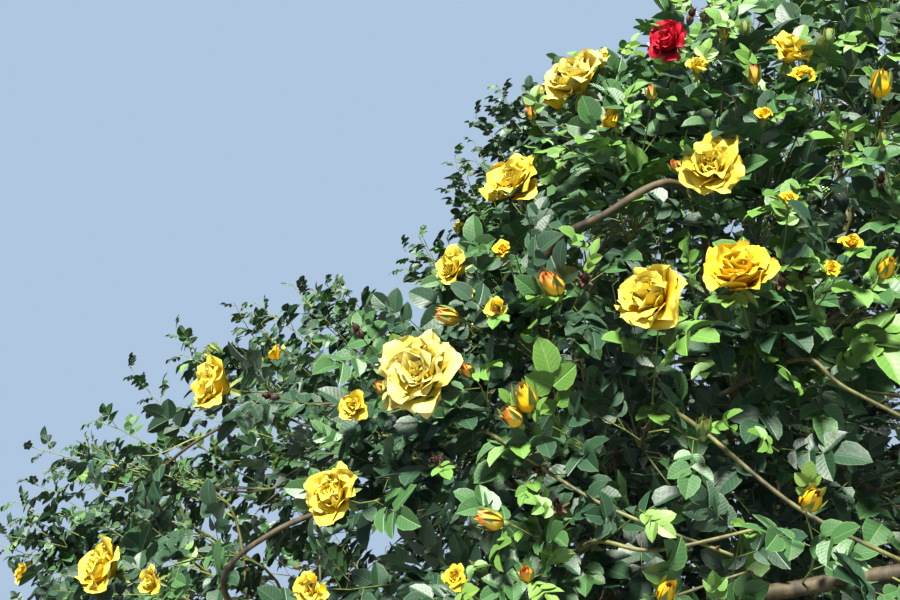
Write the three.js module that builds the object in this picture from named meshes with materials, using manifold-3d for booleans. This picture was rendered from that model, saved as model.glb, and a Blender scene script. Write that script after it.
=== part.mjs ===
// A rose bush: a short flared stem, arching canes, side boughs and masses of leaves with blooms.
// Lengths are in millimetres and angles in degrees. The bush stands on z = 0, its front is -Y,
// and an azimuth is counted from +X towards +Y.

import * as THREE from "three";
import { mergeVertices } from "three/addons/utils/BufferGeometryUtils.js";
import Module from "manifold-3d";

const wasm = await Module();
wasm.setup();

// Driving sizes of the crown. Its surface is measured from the heart, a point above the stem,
// and the swells push it out or draw it in around one direction.
const crown = {
  heart: 1200,
  across: 1500,
  above: 1500,
  below: 900,
  roundness: 2.05,
  swells: [
    { azimuth: -140, elevation: 40, spread: 24, by: -0.2 },
    { azimuth: 175, elevation: 52, spread: 26, by: -0.13 },
    { azimuth: 165, elevation: 20, spread: 24, by: 0.07 },
    { azimuth: -110, elevation: 10, spread: 22, by: -0.06 },
    { azimuth: -40, elevation: 50, spread: 28, by: 0.05 },
    { azimuth: -95, elevation: 52, spread: 12, by: 0.03 },
    { azimuth: 120, elevation: 30, spread: 40, by: -0.05 },
  ],
};

// The masses of leaves stand in rings, from the top of the crown down to its skirt
const rings = [
  { name: "top_leaves", count: 4, azimuth: 35, elevation: 61 },
  { name: "shoulder_leaves", count: 7, azimuth: -95, elevation: 31 },
  { name: "belt_leaves", count: 8, azimuth: -70, elevation: -1 },
  { name: "skirt_leaves", count: 7, azimuth: -115, elevation: -32 },
];
// Where a mass begins, where its middle is and where its leading shoot ends, as shares of the reach
const massShare = { entry: 0.5, centre: 0.72, shootEnd: 0.84 };
const spaceMargin = 4;

// The stem's flare and neck are radii, and its buttress is a share of the flare
const stem = {
  height: 200, flareRadius: 104, kneeRadius: 90, neckRadius: 70, waistRadius: 76,
  lean: 14, buttress: 0.12, sides: 14, domeSteps: 4,
};
// Each limb tapers from its base to its tip. The pulls bend it, as shares of its length.
const cane = {
  baseRadius: 15, tipRadius: 9, sides: 5, pieces: 6,
  innerRise: 67, outerRise: 38, rootDepth: 0.6, startPull: 0.28, endPull: 0.3,
};
const bough = {
  baseRadius: 10, tipRadius: 7, sides: 5, pieces: 3,
  beltShare: 0.72, skirtShare: 0.45, step: 0.12, startPull: 0.3, endPull: 0.35,
};
const leader = {
  baseRadius: 7, tipRadius: 4, sides: 3, pieces: 3, straightFoot: 30, startPull: 0.3, endPull: 0.3,
};
const twig = {
  baseRadius: 4.5, tipRadius: 2.4, sides: 3, count: 186, lowest: -43,
  highestRoot: 0.8, rootFall: 800, rootFrom: 0.12, rootTo: 0.72,
};

// Leaves are larger than life, each standing for a spray, and their bases are sunk in the twig
const leaf = {
  length: 285, width: 180, thickness: 5, widest: 0.42, sideScale: 0.92,
  count: 2, openCount: 4, spacing: 0.2, sunk: 8, overlap: 0.05,
};
// A tip leaf ends at this share of the reach, and is drawn in by steps until it fits
const reachShare = { leading: 0.99, plain: 0.94, least: 0.7, step: 0.04, sideways: 1200 };
const leadingPart = 0.3;

// Gaps: between a limb and its parent, between leaves and limbs, and the shortest edge of a solid
const clearGap = 0.3;
const limbClearance = 6;
const smallestEdge = 0.02;

// Cores of the dense masses, as shares of the reach, and the side of the bush that has none
const core = { across: 0.18, upright: 0.125, deep: 0.085, lumps: 0.12, leaves: 11, sunk: 14 };
const openSide = { azimuth: 175, spread: 44 };

// Blooms that show at the front, then the number spread over the rest of the crown
const bloom = {
  diameter: 100, sides: 6, count: 18, lowest: -15, firstAzimuth: 40,
  highestShare: 0.965, leastShare: 0.7, step: 0.02,
};
const frontBlooms = [
  { azimuth: -117, elevation: 17, diameter: 125 },
  { azimuth: -103, elevation: 20, diameter: 96 },
  { azimuth: -98, elevation: 22, diameter: 98 },
  { azimuth: -99, elevation: 28, diameter: 88 },
  { azimuth: -110, elevation: 41, diameter: 108 },
  { azimuth: -114, elevation: 32, diameter: 92 },
  { azimuth: -93, elevation: 36, diameter: 76 },
  { azimuth: -101, elevation: 39, diameter: 62 },
  { azimuth: -116, elevation: 25, diameter: 80 },
  { azimuth: -121, elevation: 10, diameter: 84 },
  { azimuth: -137, elevation: 19, diameter: 92 },
  { azimuth: -138, elevation: 6, diameter: 90 },
];

const bark = new THREE.MeshStandardMaterial({ color: "#5d4c35", roughness: 0.85, metalness: 0 });
const greenBark = new THREE.MeshStandardMaterial({ color: "#6a6f3a", roughness: 0.7, metalness: 0 });
const foliage = new THREE.MeshStandardMaterial({ color: "#35562c", roughness: 0.5, metalness: 0 });

const up = new THREE.Vector3(0, 0, 1);
const bush = new THREE.Group();

// Small helpers: seeded chance, directions and the crown's surface

function seeded(seed) {
  let state = seed >>> 0;
  return () => {
    state = (state + 0x6d2b79f5) >>> 0;
    let mixed = state;
    mixed = Math.imul(mixed ^ (mixed >>> 15), mixed | 1);
    mixed ^= mixed + Math.imul(mixed ^ (mixed >>> 7), mixed | 61);
    return ((mixed ^ (mixed >>> 14)) >>> 0) / 4294967296;
  };
}

function direction(azimuth, elevation) {
  const turn = THREE.MathUtils.degToRad(azimuth);
  const rise = THREE.MathUtils.degToRad(elevation);
  const level = Math.cos(rise);
  return new THREE.Vector3(Math.cos(turn) * level, Math.sin(turn) * level, Math.sin(rise));
}

const heart = new THREE.Vector3(0, 0, crown.heart);
const swells = crown.swells.map((swell) => ({
  ...swell,
  towards: direction(swell.azimuth, swell.elevation),
}));

function crownReach(towards) {
  const level = Math.hypot(towards.x, towards.y) / crown.across;
  const height = Math.abs(towards.z) / (towards.z > 0 ? crown.above : crown.below);
  const plain = (level ** crown.roundness + height ** crown.roundness) ** (-1 / crown.roundness);
  let share = 1;
  for (const swell of swells) {
    const angle = THREE.MathUtils.radToDeg(towards.angleTo(swell.towards));
    share += swell.by * Math.exp(-((angle / swell.spread) ** 2));
  }
  return plain * share;
}

function crownPoint(towards, share) {
  return heart.clone().addScaledVector(towards, crownReach(towards) * share);
}

// Directions spread evenly over the crown by the golden angle
function spreadDirections(count, lowest, firstAzimuth) {
  const goldenAngle = 137.50776405;
  const bottom = Math.sin(THREE.MathUtils.degToRad(lowest));
  const directions = [];
  for (let i = 0; i < count; i += 1) {
    const z = 1 - ((1 - bottom) * (i + 0.5)) / count;
    const elevation = THREE.MathUtils.radToDeg(Math.asin(z));
    directions.push(direction(firstAzimuth + i * goldenAngle, elevation));
  }
  return directions;
}

// A limb is a row of points with a radius at each, and its skin is a closed tapering tube

function curvedLimb(start, leaving, end, arriving, size) {
  const length = start.distanceTo(end);
  const startPull = start.clone().addScaledVector(leaving, size.startPull * length);
  const endPull = end.clone().addScaledVector(arriving, -size.endPull * length);
  const curve = new THREE.CubicBezierCurve3(start, startPull, endPull, end);
  const points = curve.getPoints(size.pieces);
  const radii = points.map((point, i) =>
    THREE.MathUtils.lerp(size.baseRadius, size.tipRadius, i / size.pieces));
  return { points, radii, sides: size.sides };
}

// A point on the middle line of a limb's skin, at a share of the way along its pieces
function pointOn(limb, share) {
  const place = share * (limb.points.length - 1);
  const piece = Math.min(Math.floor(place), limb.points.length - 2);
  return limb.points[piece].clone().lerp(limb.points[piece + 1], place - piece);
}

function tubeGeometry({ points, radii, sides }) {
  const positions = [];
  const faces = [];
  const last = points.length - 1;
  const first = points[1].clone().sub(points[0]).normalize();
  const upright = Math.abs(first.z) > 0.9;
  let across = (upright ? new THREE.Vector3(1, 0, 0) : up.clone()).cross(first).normalize();
  points.forEach((point, i) => {
    const ahead = points[Math.min(i + 1, last)].clone().sub(points[Math.max(i - 1, 0)]).normalize();
    across = across.addScaledVector(ahead, -across.dot(ahead)).normalize();
    const over = ahead.clone().cross(across);
    for (let side = 0; side < sides; side += 1) {
      const turn = (side / sides) * 2 * Math.PI;
      const corner = point.clone();
      corner.addScaledVector(across, Math.cos(turn) * radii[i]);
      corner.addScaledVector(over, Math.sin(turn) * radii[i]);
      positions.push(corner.x, corner.y, corner.z);
    }
  });
  for (let i = 0; i < last; i += 1) {
    for (let side = 0; side < sides; side += 1) {
      const next = (side + 1) % sides;
      const a = i * sides + side;
      const b = i * sides + next;
      faces.push(a, b, b + sides, a, b + sides, a + sides);
    }
  }
  for (let side = 1; side < sides - 1; side += 1) {
    const top = last * sides;
    faces.push(0, side + 1, side);
    faces.push(top, top + side, top + side + 1);
  }
  const geometry = new THREE.BufferGeometry();
  geometry.setAttribute("position", new THREE.Float32BufferAttribute(positions, 3));
  geometry.setIndex(faces);
  return geometry;
}

// Solids are joined and cut here, and the largest closed body is kept

function solidOf(geometry) {
  const bare = geometry.clone();
  bare.deleteAttribute("normal");
  bare.deleteAttribute("uv");
  const merged = mergeVertices(bare, 1e-3);
  const index = merged.index.array;
  const faces = [];
  for (let i = 0; i < index.length; i += 3) {
    const [a, b, c] = [index[i], index[i + 1], index[i + 2]];
    if (a !== b && b !== c && c !== a) faces.push(a, b, c);
  }
  const vertProperties = new Float32Array(merged.attributes.position.array);
  const triVerts = new Uint32Array(faces);
  return new wasm.Manifold(new wasm.Mesh({ numProp: 3, vertProperties, triVerts }));
}

function largestBody(solid) {
  const bodies = solid.decompose();
  return bodies.reduce((best, body) => (body.volume() > best.volume() ? body : best));
}

function addPart(name, solid, material) {
  const mesh = largestBody(solid).getMesh();
  const geometry = new THREE.BufferGeometry();
  geometry.setAttribute("position", new THREE.BufferAttribute(mesh.vertProperties, 3));
  geometry.setIndex(new THREE.BufferAttribute(mesh.triVerts, 1));
  geometry.computeVertexNormals();
  const part = new THREE.Mesh(geometry, material);
  part.name = name;
  bush.add(part);
}

// The distance between two straight pieces keeps twigs and leaves off the limbs
function distanceBetween(startA, endA, startB, endB) {
  const alongA = endA.clone().sub(startA);
  const alongB = endB.clone().sub(startB);
  const between = startA.clone().sub(startB);
  const a = alongA.dot(alongA);
  const b = alongA.dot(alongB);
  const c = alongB.dot(alongB);
  const d = alongA.dot(between);
  const e = alongB.dot(between);
  const spread = a * c - b * b;
  let onA = spread > 1e-9 ? THREE.MathUtils.clamp((b * e - c * d) / spread, 0, 1) : 0;
  let onB = THREE.MathUtils.clamp((b * onA + e) / c, 0, 1);
  onA = THREE.MathUtils.clamp((b * onB - d) / a, 0, 1);
  return startA.clone().addScaledVector(alongA, onA)
    .distanceTo(startB.clone().addScaledVector(alongB, onB));
}

// Stem: a short leaning trunk that flares to its flat cut on the ground, with a domed head
// from which the canes rise

const headCentre = new THREE.Vector3(stem.lean, 0, stem.height - stem.neckRadius);

function stemSolid(grow) {
  const flareHeight = 0.5 * headCentre.z;
  const headRadius = stem.neckRadius + grow;
  const profile = [
    new THREE.Vector2(0, 0),
    new THREE.Vector2(stem.flareRadius + grow, 0),
    new THREE.Vector2(stem.kneeRadius + grow, 0.3 * flareHeight),
    new THREE.Vector2(stem.waistRadius + grow, flareHeight),
  ];
  for (let i = 0; i < stem.domeSteps; i += 1) {
    const rise = (i / stem.domeSteps) * 0.5 * Math.PI;
    const height = headCentre.z + headRadius * Math.sin(rise);
    profile.push(new THREE.Vector2(headRadius * Math.cos(rise), height));
  }
  profile.push(new THREE.Vector2(0, headCentre.z + headRadius));
  const geometry = new THREE.LatheGeometry(profile, stem.sides).rotateX(0.5 * Math.PI);
  const position = geometry.attributes.position;
  for (let i = 0; i < position.count; i += 1) {
    const [x, y, z] = [position.getX(i), position.getY(i), position.getZ(i)];
    const flare = Math.max(0, 1 - z / flareHeight);
    const swell = 1 + stem.buttress * Math.cos(3 * Math.atan2(y, x)) * flare;
    position.setXY(i, x * swell + (stem.lean * z) / headCentre.z, y * swell);
  }
  return solidOf(geometry);
}

addPart("stem", stemSolid(0), bark);

// Masses: each has a centre in the crown, and its space is every point nearer to its own centre
// than to any other, inside the crown's surface

const masses = [];
for (const ring of rings) {
  for (let i = 0; i < ring.count; i += 1) {
    const azimuth = ring.azimuth + (i * 360) / ring.count;
    const towards = direction(azimuth, ring.elevation);
    masses.push({
      name: `${ring.name}_${i + 1}`,
      ring,
      towards,
      centre: crownPoint(towards, massShare.centre),
      entry: crownPoint(towards, massShare.entry),
      shootEnd: crownPoint(towards, massShare.shootEnd),
    });
  }
}

function nearestMass(point) {
  return masses.reduce((best, mass) =>
    mass.centre.distanceTo(point) < best.centre.distanceTo(point) ? mass : best);
}

function insideSpace(mass, point) {
  const fromHeart = point.clone().sub(heart);
  if (fromHeart.length() > crownReach(fromHeart.clone().normalize())) return false;
  return masses.every((other) => {
    if (other === mass) return true;
    const toOwn = point.distanceToSquared(mass.centre);
    const toOther = point.distanceToSquared(other.centre);
    return (toOther - toOwn) / (2 * mass.centre.distanceTo(other.centre)) >= spaceMargin;
  });
}

function isOpen(mass) {
  const side = mass.towards.clone().setZ(0).angleTo(direction(openSide.azimuth, 0));
  return THREE.MathUtils.radToDeg(side) < openSide.spread;
}

// Canes rise from the stem's head and arch out to the top and shoulder masses

const limbs = [];
const canes = [];
const caneMasses = masses.filter(({ ring }) => ring === rings[0] || ring === rings[1]);
caneMasses.forEach((mass, i) => {
  const azimuth = THREE.MathUtils.radToDeg(Math.atan2(mass.towards.y, mass.towards.x));
  const leaving = direction(azimuth, mass.ring === rings[0] ? cane.innerRise : cane.outerRise);
  const start = headCentre.clone().addScaledVector(leaving, cane.rootDepth * stem.neckRadius);
  const limb = curvedLimb(start, leaving, mass.entry, mass.towards, cane);
  canes.push({ ...limb, name: `cane_${i + 1}`, mass, boughs: 0 });
});

const stemCutter = stemSolid(clearGap);
for (const limb of canes) {
  addPart(limb.name, solidOf(tubeGeometry(limb)).subtract(stemCutter), bark);
  limbs.push(limb);
  limb.mass.limb = limb;
}

// Side boughs leave the nearest cane at a fixed share of its length and end where they enter
// a belt or skirt mass

function fattened(limb, grow) {
  return { ...limb, radii: limb.radii.map((radius) => radius + grow) };
}

const boughMasses = masses.filter(({ ring }) => ring === rings[2] || ring === rings[3]);
boughMasses.forEach((mass, i) => {
  const highest = mass.ring === rings[2] ? bough.beltShare : bough.skirtShare;
  const shoulders = canes.filter((limb) => limb.mass.ring === rings[1]);
  const parent = shoulders.reduce((best, limb) =>
    pointOn(limb, highest).distanceTo(mass.entry)
      < pointOn(best, highest).distanceTo(mass.entry) ? limb : best);
  const share = highest - bough.step * parent.boughs;
  parent.boughs += 1;
  const start = pointOn(parent, share);
  const leaving = pointOn(parent, share + 0.05).sub(start).normalize();
  const limb = curvedLimb(start, leaving, mass.entry, mass.towards, bough);
  const parentCutter = solidOf(tubeGeometry(fattened(parent, clearGap)));
  const solid = solidOf(tubeGeometry(limb)).subtract(parentCutter);
  addPart(`bough_${i + 1}`, solid, greenBark);
  limbs.push(limb);
  mass.limb = limb;
});

// Each mass grows from one leading shoot that carries on from the tip of its limb. Twigs leave
// the shoot for points spread evenly over the crown, and each carries leaves or a bloom.

function leadingShoot(mass) {
  const tip = mass.limb.points.at(-1);
  const ahead = tip.clone().sub(mass.limb.points.at(-2)).normalize();
  const foot = tip.clone().addScaledVector(ahead, clearGap);
  const start = foot.clone().addScaledVector(ahead, leader.straightFoot);
  const shoot = curvedLimb(start, ahead, mass.shootEnd, mass.towards, leader);
  shoot.points.unshift(foot);
  shoot.radii.unshift(leader.baseRadius);
  return shoot;
}

function clearOfLimbs(start, end, radius) {
  return limbs.every((limb) => limb.points.slice(1).every((point, i) =>
    distanceBetween(start, end, limb.points[i], point) > limb.radii[i] + radius + limbClearance));
}

function leafGeometry(base, along, facing, scale) {
  const side = along.clone().cross(facing).normalize();
  const face = along.clone().cross(side);
  const geometry = new THREE.OctahedronGeometry(0.5);
  const position = geometry.attributes.position;
  for (let i = 0; i < position.count; i += 1) {
    const lengthShare = position.getX(i) === 0 ? leaf.widest : position.getX(i) + 0.5;
    const corner = base.clone();
    corner.addScaledVector(along, lengthShare * leaf.length * scale);
    corner.addScaledVector(side, position.getY(i) * leaf.width * scale);
    corner.addScaledVector(face, position.getZ(i) * leaf.thickness);
    position.setXYZ(i, corner.x, corner.y, corner.z);
  }
  return geometry;
}

function cornersOf(geometry) {
  const position = geometry.attributes.position;
  const corners = [];
  for (let i = 0; i < position.count; i += 1) {
    corners.push(new THREE.Vector3().fromBufferAttribute(position, i));
  }
  return corners;
}

function leafFits(mass, geometry, base, along, scale) {
  const tip = base.clone().addScaledVector(along, leaf.length * scale);
  const halfWidth = 0.5 * leaf.width * scale;
  return cornersOf(geometry).every((corner) => insideSpace(mass, corner))
    && clearOfLimbs(base, tip, halfWidth);
}

// Solids are fused one by one. One that would leave a sliver too short to build is given up.
function shortestEdge(solid) {
  const { vertProperties, triVerts } = solid.getMesh();
  const corner = (i) => new THREE.Vector3().fromArray(vertProperties, triVerts[i] * 3);
  let shortest = Infinity;
  for (let i = 0; i < triVerts.length; i += 3) {
    const [a, b, c] = [corner(i), corner(i + 1), corner(i + 2)];
    shortest = Math.min(shortest, a.distanceTo(b), b.distanceTo(c), c.distanceTo(a));
  }
  return shortest;
}

function fused(mass, solids) {
  const grown = solids.reduce((whole, solid) => whole.add(solid), mass.shape);
  if (shortestEdge(grown) < smallestEdge) return false;
  mass.shape = grown;
  return true;
}

function crosses(solid, others) {
  return !solid.intersect(others).isEmpty();
}

// A leaf stays in its mass's space, clear of the limbs and of the leaves and twigs already there
function leafSolid(mass, base, along, facing, scale) {
  const geometry = leafGeometry(base, along, facing, scale);
  if (!leafFits(mass, geometry, base, along, scale)) return null;
  const solid = solidOf(geometry);
  return crosses(solid, mass.leaves) || crosses(solid, mass.wood) ? null : solid;
}

// A twig leaves the leading shoot lower down the farther aside it has to go
function twigFor(mass, target) {
  const aside = target.clone().sub(mass.entry).projectOnPlane(mass.towards).length();
  const root = twig.highestRoot - aside / twig.rootFall;
  const start = pointOn(mass.shoot, THREE.MathUtils.clamp(root, twig.rootFrom, twig.rootTo));
  const freeStart = start.clone().lerp(target, 0.15);
  if (!insideSpace(mass, target) || !clearOfLimbs(freeStart, target, 0)) return null;
  return { points: [start, target], radii: [twig.baseRadius, twig.tipRadius], sides: twig.sides };
}

// The seeded ways of one twig: where it points, how its leaves face and to which side they swing
function twigHabit(mass, towards, seed) {
  const chance = seeded(seed);
  const jitter = new THREE.Vector3(chance() - 0.5, chance() - 0.5, chance() - 0.5);
  const outward = towards.clone().addScaledVector(jitter, 0.12).normalize();
  const leads = chance() < leadingPart;
  const turn = chance() < 0.5 ? 1 : -1;
  const aside = outward.clone().sub(mass.towards).projectOnPlane(outward);
  aside.addScaledVector(jitter.clone().projectOnPlane(outward), 0.25).normalize();
  const facing = outward.clone().addScaledVector(up, 0.3).addScaledVector(jitter, 0.9).normalize();
  const tipWay = aside.clone().addScaledVector(outward, leads ? 0.9 : 0.25);
  tipWay.addScaledVector(up, leads ? 0.1 : -0.25).normalize();
  return { chance, outward, leads, turn, aside, facing, tipWay };
}

// Leaves leave the twig to the left and to the right by turns, wider where they meet another
function growSideLeaves(mass, start, end, habit) {
  const count = isOpen(mass) ? leaf.openCount : leaf.count;
  for (let i = 1; i < count; i += 1) {
    const way = i % 2 === 1 ? habit.turn : -habit.turn;
    const base = start.clone().lerp(end, 1 - leaf.spacing * i);
    const swing = 55 + 25 * habit.chance();
    for (const wider of [0, 35, 75]) {
      const turned = THREE.MathUtils.degToRad(way * (swing + wider));
      const sideWay = habit.aside.clone().applyAxisAngle(habit.outward, turned);
      sideWay.addScaledVector(habit.outward, 0.12).addScaledVector(up, -0.15).normalize();
      const solid = leafSolid(mass, base, sideWay, habit.facing, leaf.sideScale);
      if (!solid || !fused(mass, [solid])) continue;
      mass.leaves = mass.leaves.add(solid);
      break;
    }
  }
}

// The leaf at a twig's tip ends near a point of the crown's surface. A twig that would leave its
// mass's space is drawn in step by step, and one that never fits is left out.
function growTwig(mass, towards, seed) {
  const habit = twigHabit(mass, towards, seed);
  const highest = habit.leads ? reachShare.leading : reachShare.plain;
  for (let share = highest; share > reachShare.least; share -= reachShare.step) {
    const tip = crownPoint(habit.outward, share);
    tip.addScaledVector(habit.aside, (share - reachShare.plain) * reachShare.sideways);
    const end = tip.addScaledVector(habit.tipWay, (leaf.overlap - 1) * leaf.length);
    const shoot = twigFor(mass, end);
    if (!shoot) continue;
    const wood = solidOf(tubeGeometry(shoot));
    const ahead = end.clone().sub(shoot.points[0]).normalize();
    const base = end.clone().addScaledVector(ahead, -leaf.sunk);
    const solid = leafSolid(mass, base, habit.tipWay, habit.facing, 1);
    if (!solid || crosses(wood, mass.leaves) || !fused(mass, [wood, solid])) continue;
    mass.leaves = mass.leaves.add(solid);
    growSideLeaves(mass, shoot.points[0], end, habit);
    mass.wood = mass.wood.add(wood);
    return;
  }
}

// A bloom is a shallow cup with a raised middle, facing outwards at the tip of its own twig
function bloomGeometry(centre, axis, diameter) {
  const profile = [
    new THREE.Vector2(0, -0.34 * diameter),
    new THREE.Vector2(0.32 * diameter, -0.2 * diameter),
    new THREE.Vector2(0.5 * diameter, 0.1 * diameter),
    new THREE.Vector2(0, 0.22 * diameter),
  ];
  const geometry = new THREE.LatheGeometry(profile, bloom.sides).rotateX(0.5 * Math.PI);
  const pose = new THREE.Quaternion().setFromUnitVectors(up, axis);
  return geometry.applyQuaternion(pose).translate(centre.x, centre.y, centre.z);
}

function growBloom(mass, towards, diameter) {
  for (let share = bloom.highestShare; share > bloom.leastShare; share -= bloom.step) {
    const centre = crownPoint(towards, share);
    const shoot = twigFor(mass, centre);
    if (!shoot) continue;
    const ahead = centre.clone().sub(shoot.points[0]).normalize();
    const axis = ahead.multiplyScalar(0.4).add(towards).normalize();
    const geometry = bloomGeometry(centre, axis, diameter);
    if (!cornersOf(geometry).every((corner) => insideSpace(mass, corner))) continue;
    const wood = solidOf(tubeGeometry(shoot));
    const solid = solidOf(geometry);
    if (crosses(solid, mass.leaves) || crosses(solid, mass.wood)) continue;
    if (crosses(wood, mass.leaves) || !fused(mass, [wood, solid])) continue;
    mass.leaves = mass.leaves.add(solid);
    mass.wood = mass.wood.add(wood);
    return;
  }
}

// A dense mass has a lumpy core that leaves stand out of. The open side of the bush has none.
function coreSurface(mass, x, y, z) {
  const reach = crownReach(mass.towards);
  const level = up.clone().cross(mass.towards).normalize();
  const upright = mass.towards.clone().cross(level);
  const lump = 1 + core.lumps * Math.sin(7 * x + 5 * y - 6 * z + 9 * mass.towards.x);
  const fromCentre = mass.towards.clone().multiplyScalar(x * core.deep);
  fromCentre.addScaledVector(level, y * core.across).addScaledVector(upright, z * core.upright);
  const point = mass.centre.clone().addScaledVector(fromCentre, lump * reach);
  const normal = mass.towards.clone().multiplyScalar(x / core.deep);
  normal.addScaledVector(level, y / core.across).addScaledVector(upright, z / core.upright);
  const outward = level.multiplyScalar(y).addScaledVector(upright, z).normalize();
  return { point, normal: normal.normalize(), outward };
}

function coreGeometry(mass) {
  const geometry = new THREE.IcosahedronGeometry(1, 1);
  const position = geometry.attributes.position;
  for (let i = 0; i < position.count; i += 1) {
    const { point } = coreSurface(mass, position.getX(i), position.getY(i), position.getZ(i));
    position.setXYZ(i, point.x, point.y, point.z);
  }
  return geometry;
}

function growCore(mass, seed) {
  const chance = seeded(seed);
  const solid = solidOf(coreGeometry(mass));
  mass.shape = mass.shape.add(solid);
  spreadDirections(core.leaves, 0, 360 * chance()).forEach((spot) => {
    const { point, normal, outward } = coreSurface(mass, spot.z, spot.x, spot.y);
    const base = point.clone().addScaledVector(normal, -core.sunk);
    const tilt = 0.35 + 0.5 * chance();
    const along = outward.addScaledVector(normal, tilt).addScaledVector(up, -0.15);
    const scale = 0.8 + 0.2 * chance();
    const coreLeaf = leafSolid(mass, base, along.normalize(), normal, scale);
    if (coreLeaf && fused(mass, [coreLeaf])) mass.leaves = mass.leaves.add(coreLeaf);
  });
  mass.wood = mass.wood.add(solid);
}

const coreSeed = 900;
const twigSeed = 500;

masses.forEach((mass, i) => {
  mass.shoot = leadingShoot(mass);
  mass.wood = solidOf(tubeGeometry(mass.shoot));
  mass.shape = mass.wood;
  mass.leaves = mass.wood.subtract(mass.wood);
  if (!isOpen(mass)) growCore(mass, coreSeed + i);
});

for (const { azimuth, elevation, diameter } of frontBlooms) {
  const towards = direction(azimuth, elevation);
  growBloom(nearestMass(crownPoint(towards, massShare.centre)), towards, diameter);
}
spreadDirections(bloom.count, bloom.lowest, bloom.firstAzimuth).forEach((towards) => {
  growBloom(nearestMass(crownPoint(towards, massShare.centre)), towards, bloom.diameter);
});
spreadDirections(twig.count, twig.lowest, 0).forEach((towards, i) => {
  growTwig(nearestMass(crownPoint(towards, massShare.shootEnd)), towards, twigSeed + i);
});

for (const mass of masses) {
  addPart(mass.name, mass.shape, foliage);
}

export default bush;
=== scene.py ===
import math

import bpy
import numpy as np
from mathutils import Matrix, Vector, noise


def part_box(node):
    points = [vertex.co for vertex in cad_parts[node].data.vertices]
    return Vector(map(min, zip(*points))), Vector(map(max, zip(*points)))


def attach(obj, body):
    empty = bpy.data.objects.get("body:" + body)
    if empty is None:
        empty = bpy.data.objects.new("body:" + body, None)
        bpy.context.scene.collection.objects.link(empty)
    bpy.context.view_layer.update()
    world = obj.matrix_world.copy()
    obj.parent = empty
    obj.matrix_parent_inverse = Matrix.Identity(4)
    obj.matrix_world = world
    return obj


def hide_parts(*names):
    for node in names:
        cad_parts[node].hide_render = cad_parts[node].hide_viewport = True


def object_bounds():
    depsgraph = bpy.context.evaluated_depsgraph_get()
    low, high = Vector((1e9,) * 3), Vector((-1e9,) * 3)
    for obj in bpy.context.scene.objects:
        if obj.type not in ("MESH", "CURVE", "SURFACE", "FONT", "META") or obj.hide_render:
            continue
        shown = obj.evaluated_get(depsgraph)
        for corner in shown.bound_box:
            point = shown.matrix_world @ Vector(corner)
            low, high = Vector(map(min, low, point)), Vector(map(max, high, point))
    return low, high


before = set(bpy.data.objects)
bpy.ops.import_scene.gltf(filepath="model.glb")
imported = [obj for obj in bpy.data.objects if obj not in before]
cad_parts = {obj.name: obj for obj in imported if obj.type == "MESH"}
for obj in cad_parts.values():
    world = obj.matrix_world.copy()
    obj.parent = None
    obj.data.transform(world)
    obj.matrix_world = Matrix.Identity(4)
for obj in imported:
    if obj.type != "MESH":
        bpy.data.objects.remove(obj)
cad_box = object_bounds()

# Crown
# The crown is the space that the bush fills: a dome around a point above the stem, the heart,
# drawn in at the front left and pushed out at the back left. Only sprays and leaf tips pass it.
# Lengths are in metres and angles in degrees, and azimuths are counted from +X towards +Y.

heart = np.array([0.0, 0.0, 1.2])
crown_across = 1.5
crown_above = 1.5
crown_below = 0.9
crown_roundness = 2.05

# Each row has the azimuth and elevation of its middle, its spread and its greatest amount.
crown_swells = [
    (-140, 40, 24, -0.2),
    (175, 52, 26, -0.13),
    (165, 20, 24, 0.07),
    (-110, 10, 22, -0.06),
    (-40, 50, 28, 0.05),
    (-95, 52, 12, 0.03),
    (120, 30, 40, -0.05),
]
crown_hollows = [
    (165, 40, 19, 0.33),
    (-142, 41, 13, 0.20),
    (-163, 51, 14, 0.24),
    (172, 62, 11, 0.10),
    (-106, 65, 13, 0.11),
]


def unit(vectors):
    return vectors / np.maximum(np.linalg.norm(vectors, axis=-1, keepdims=True), 1e-9)


def direction(azimuth, elevation):
    turn = np.radians(azimuth)
    rise = np.radians(elevation)
    level = np.cos(rise)
    return np.stack([np.cos(turn) * level, np.sin(turn) * level, np.sin(rise)], axis=-1)


def angle_between(towards, middle):
    return np.degrees(np.arccos(np.clip(towards @ middle, -1, 1)))


def bump(towards, azimuth, elevation, spread, amount):
    """A smooth hill over the crown's directions, with its full amount in the middle."""
    angle = angle_between(towards, direction(azimuth, elevation))
    return amount * np.exp(-((angle / spread) ** 2))


def crown_reach(towards):
    level = np.hypot(towards[..., 0], towards[..., 1]) / crown_across
    height = np.abs(towards[..., 2]) / np.where(towards[..., 2] > 0, crown_above, crown_below)
    plain = (level**crown_roundness + height**crown_roundness) ** (-1 / crown_roundness)
    share = np.ones_like(plain)
    for swell in crown_swells:
        share = share + bump(towards, *swell)
    return plain * share


def crown_point(towards, share):
    return heart + towards * (crown_reach(towards) * share)[..., None]


def grown_share(towards, share):
    """A share of the reach, less where the growth stands back and leaves a hollow."""
    for hollow in crown_hollows:
        share = share * (1 - bump(towards, *hollow))
    return share


# Masses
# The bush carries its leaves in masses that stand in four rings, each fed by one cane or bough.
# A mass owns the space nearest its centre, and all that grows there is traced back to its limb.

rings = [
    {"name": "top_leaves", "count": 4, "azimuth": 35, "elevation": 61},
    {"name": "shoulder_leaves", "count": 7, "azimuth": -95, "elevation": 31},
    {"name": "belt_leaves", "count": 8, "azimuth": -70, "elevation": -1},
    {"name": "skirt_leaves", "count": 7, "azimuth": -115, "elevation": -32},
]
entry_share = 0.5
centre_share = 0.72

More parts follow.
